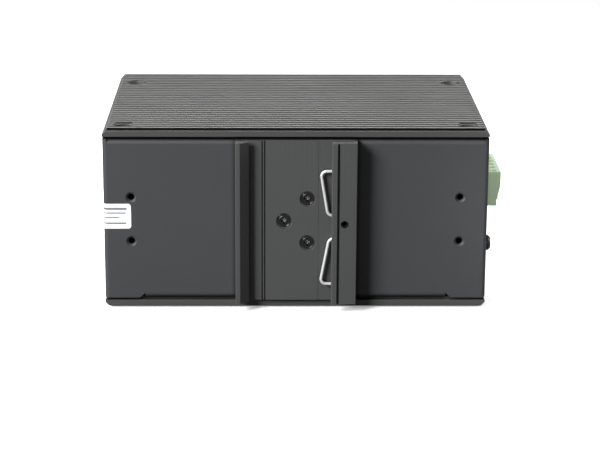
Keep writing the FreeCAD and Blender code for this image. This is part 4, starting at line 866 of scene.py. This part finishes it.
def painted_nuts(node):
    """Clinched nuts, coated over with the case: a dished mouth round a dark bore."""
    bm = bmesh.new()
    for low, high in solids_of(node):
        depth = (high - low)[1] / MM
        body = (high - low)[0] / MM / 2
        bore = [(bore_radius, -depth + nut_chamfer), (bore_radius, -bore_top)]
        mouth = [(bore_radius + mouth_step, -mouth_foot), (mouth_radius, -lip_sink),
                 (shank_in_wall, -lip_sink)]
        collar = [(shank_in_wall, -wall_mm), (body, -wall_mm), (body, -depth + nut_chamfer),
                  (body - nut_chamfer, -depth), (bore_radius + mouth_step, -depth), bore[0]]
        turned(bm, bore + mouth + collar, facing(low, high, (0, -1, 0)))
    piece = finish_turned(bm, node)
    piece.data.materials.clear()
    piece.data.materials.append(finishes["nut_paint"])
    return piece


remade["wall_mount_nuts"] = painted_nuts("wall_mount_nuts")

# %% Pin of the wire spring
hollow_radius = 0.95
pin_stands_out = 0.9  # above the CAD pin, so that its end shows in the mouth of its hole
pin_side_room, end_round = 0.02, 0.25


def rolled_pin(node):
    """A rolled pin: a chamfered tube round a dark hollow."""
    bm = bmesh.new()
    for low, high in solids_of(node):
        depth = (high - low)[1] / MM
        radius = (high - low)[0] / MM / 2
        side = radius - pin_side_room
        hollow = [(hollow_radius, -depth + 0.1), (hollow_radius, pin_stands_out - 0.15)]
        outer_end = [(hollow_radius + 0.1, pin_stands_out), (radius - end_round, pin_stands_out),
                     (side, pin_stands_out - 0.35)]
        inner_end = [(side, -depth + 0.3), (radius - end_round, -depth), (hollow_radius, -depth),
                     hollow[0]]
        turned(bm, hollow + outer_end + inner_end, facing(low, high, (0, -1, 0)))
    return finish_turned(bm, node)


remade["spring_pin"] = rolled_pin("spring_pin")
print("remade nodes:", sorted(remade))

# %% [markdown]
# ## The rest of the frame
#
# Pieces that are round, small or closed in keep their CAD mesh. They only need their finish.

# %% Finish the carried-over nodes
carried_over = [node for node in slot_of_node if node not in dressed and node not in remade]
for node in carried_over:
    piece = frame["nodes"][node]
    piece.data.materials.clear()
    piece.data.materials.append(finishes[slot_of_node[node]])
print("carried over:", len(carried_over))

# %% [markdown]
# ## The studio
#
# The unit lies on a plain pale floor under soft lights. The strongest lamp stands at the near left
# and shapes the clip. A broad one above and a low one behind make the ribbed top read lighter than
# the wall in front. Weak ones fill the near side and the right end, and a narrow beam reaches the
# green connector, which the case would otherwise leave in its own shade.
#
# A white floor would also throw light into the gaps of the case. Light paths let it look white while
# the unit sees a grey one: rays from the camera get the pale tone and a little glow, and all others
# get the dark tone.

# %% Floor
floor_z = cad_box[0][2]
floor_reach = 6.0  # metres from the middle
floor_seen, floor_felt = (0.93, 0.93, 0.93), (0.14, 0.14, 0.14)
floor_glow = 0.35
floor_bm = bmesh.new()
bmesh.ops.create_grid(floor_bm, x_segments=1, y_segments=1, size=floor_reach,
                      matrix=Matrix.Translation((0.0, 0.0, floor_z)))
floor_mesh = bpy.data.meshes.new("floor")
floor_bm.to_mesh(floor_mesh)
floor_bm.free()
floor = bpy.data.objects.new("floor", floor_mesh)
bpy.context.scene.collection.objects.link(floor)
floor_material, floor_tree, floor_shader, floor_point = start_material("floor_paper")
seen = put(floor_tree, "ShaderNodeLightPath").outputs["Is Camera Ray"]
floor_tone = mixed(floor_tree, floor_felt, floor_seen, seen)
floor_grain = grain_of(floor_tree, floor_point, 60.0, 0.01)
keep_finish("floor_paper", floor_material, floor_shader, {
    "Base Color": shaded(floor_tree, floor_tone, floor_grain["Shade"]),
    "Emission Strength": calc(floor_tree, "MULTIPLY", seen, floor_glow)}, {
    "Emission Color": (1.0, 1.0, 1.0, 1.0), "Roughness": 0.9, "Specular IOR Level": 0.2})
floor_mesh.materials.append(floor_material)
print("floor at", round(floor_z / MM, 2), "mm")

# %% World and lamps
world = bpy.data.worlds.new("studio_white")
world.use_nodes = True
background = world.node_tree.nodes["Background"]
background.inputs["Color"].default_value = (1.0, 1.0, 1.0, 1.0)
background.inputs["Strength"].default_value = 0.05
bpy.context.scene.world = world


def soft_lamp(name, place, target, width, height, power):
    """A rectangular lamp that looks at the target; places and sizes in metres, power in watts."""
    lamp = bpy.data.lights.new(name, "AREA")
    lamp.shape = "RECTANGLE"
    lamp.size = width
    lamp.size_y = height
    lamp.energy = power
    holder = bpy.data.objects.new(name, lamp)
    holder.location = place
    holder.rotation_euler = (Vector(target) - Vector(place)).to_track_quat("-Z", "Y").to_euler()
    holder.visible_camera = False
    bpy.context.scene.collection.objects.link(holder)
    return holder


middle = (0.0, 0.055, 0.0)
far_edge, beside_connector = (0.0, 0.11, 0.0), (0.100, 0.02, 0.0)
soft_lamp("top_lamp", (0.0, 0.20, 1.4), middle, 2.0, 1.6, 4.6)
soft_lamp("back_lamp", (0.0, 0.22, 0.24), far_edge, 0.8, 0.1, 2.6)
soft_lamp("key_lamp", (-1.25, -1.15, 0.95), middle, 0.8, 0.8, 70.0)
soft_lamp("fill_lamp", (-0.3, -1.3, 0.15), middle, 0.9, 0.9, 0.6)
plug_lamp = soft_lamp("plug_lamp", (0.30, -0.9, 0.25), beside_connector, 0.06, 0.06, 0.006)
plug_lamp.data.spread = math.radians(5.0)
soft_lamp("side_lamp", (1.2, 0.35, 0.35), middle, 0.8, 0.6, 5.0)
bpy.context.scene.view_settings.view_transform = "Standard"
print("lamps placed")

# %% [markdown]
# ## The camera
#
# The view is a long lens from a little above, looking at the back of the unit. A long lens keeps the
# sides nearly parallel. The direction is set by turn, tilt and roll, which is easier to adjust than a
# matrix.

# %% Camera
camera_place = Vector((-11.509, -734.017, 211.666)) * MM
camera_turn, camera_tilt, camera_roll = (math.radians(a) for a in (1.02438, 16.20216, 0.31010))
sensor_width, focal_length = 36.0, 116.1075  # mm
forward = Vector((math.sin(camera_turn) * math.cos(camera_tilt),
                  math.cos(camera_turn) * math.cos(camera_tilt), -math.sin(camera_tilt)))
level_right = Vector((math.cos(camera_turn), -math.sin(camera_turn), 0.0))
level_up = level_right.cross(forward)
right = level_right * math.cos(camera_roll) + level_up * math.sin(camera_roll)
up = -level_right * math.sin(camera_roll) + level_up * math.cos(camera_roll)
lens = bpy.data.cameras.new("camera")
lens.sensor_width = sensor_width
lens.lens = focal_length
camera = bpy.data.objects.new("camera", lens)
turn = Matrix((right, up, -forward)).transposed()
camera.matrix_world = Matrix.Translation(camera_place) @ turn.to_4x4()
bpy.context.scene.collection.objects.link(camera)
bpy.context.scene.camera = camera
print("camera", round((camera_place - Vector(middle)).length, 3), "m away")
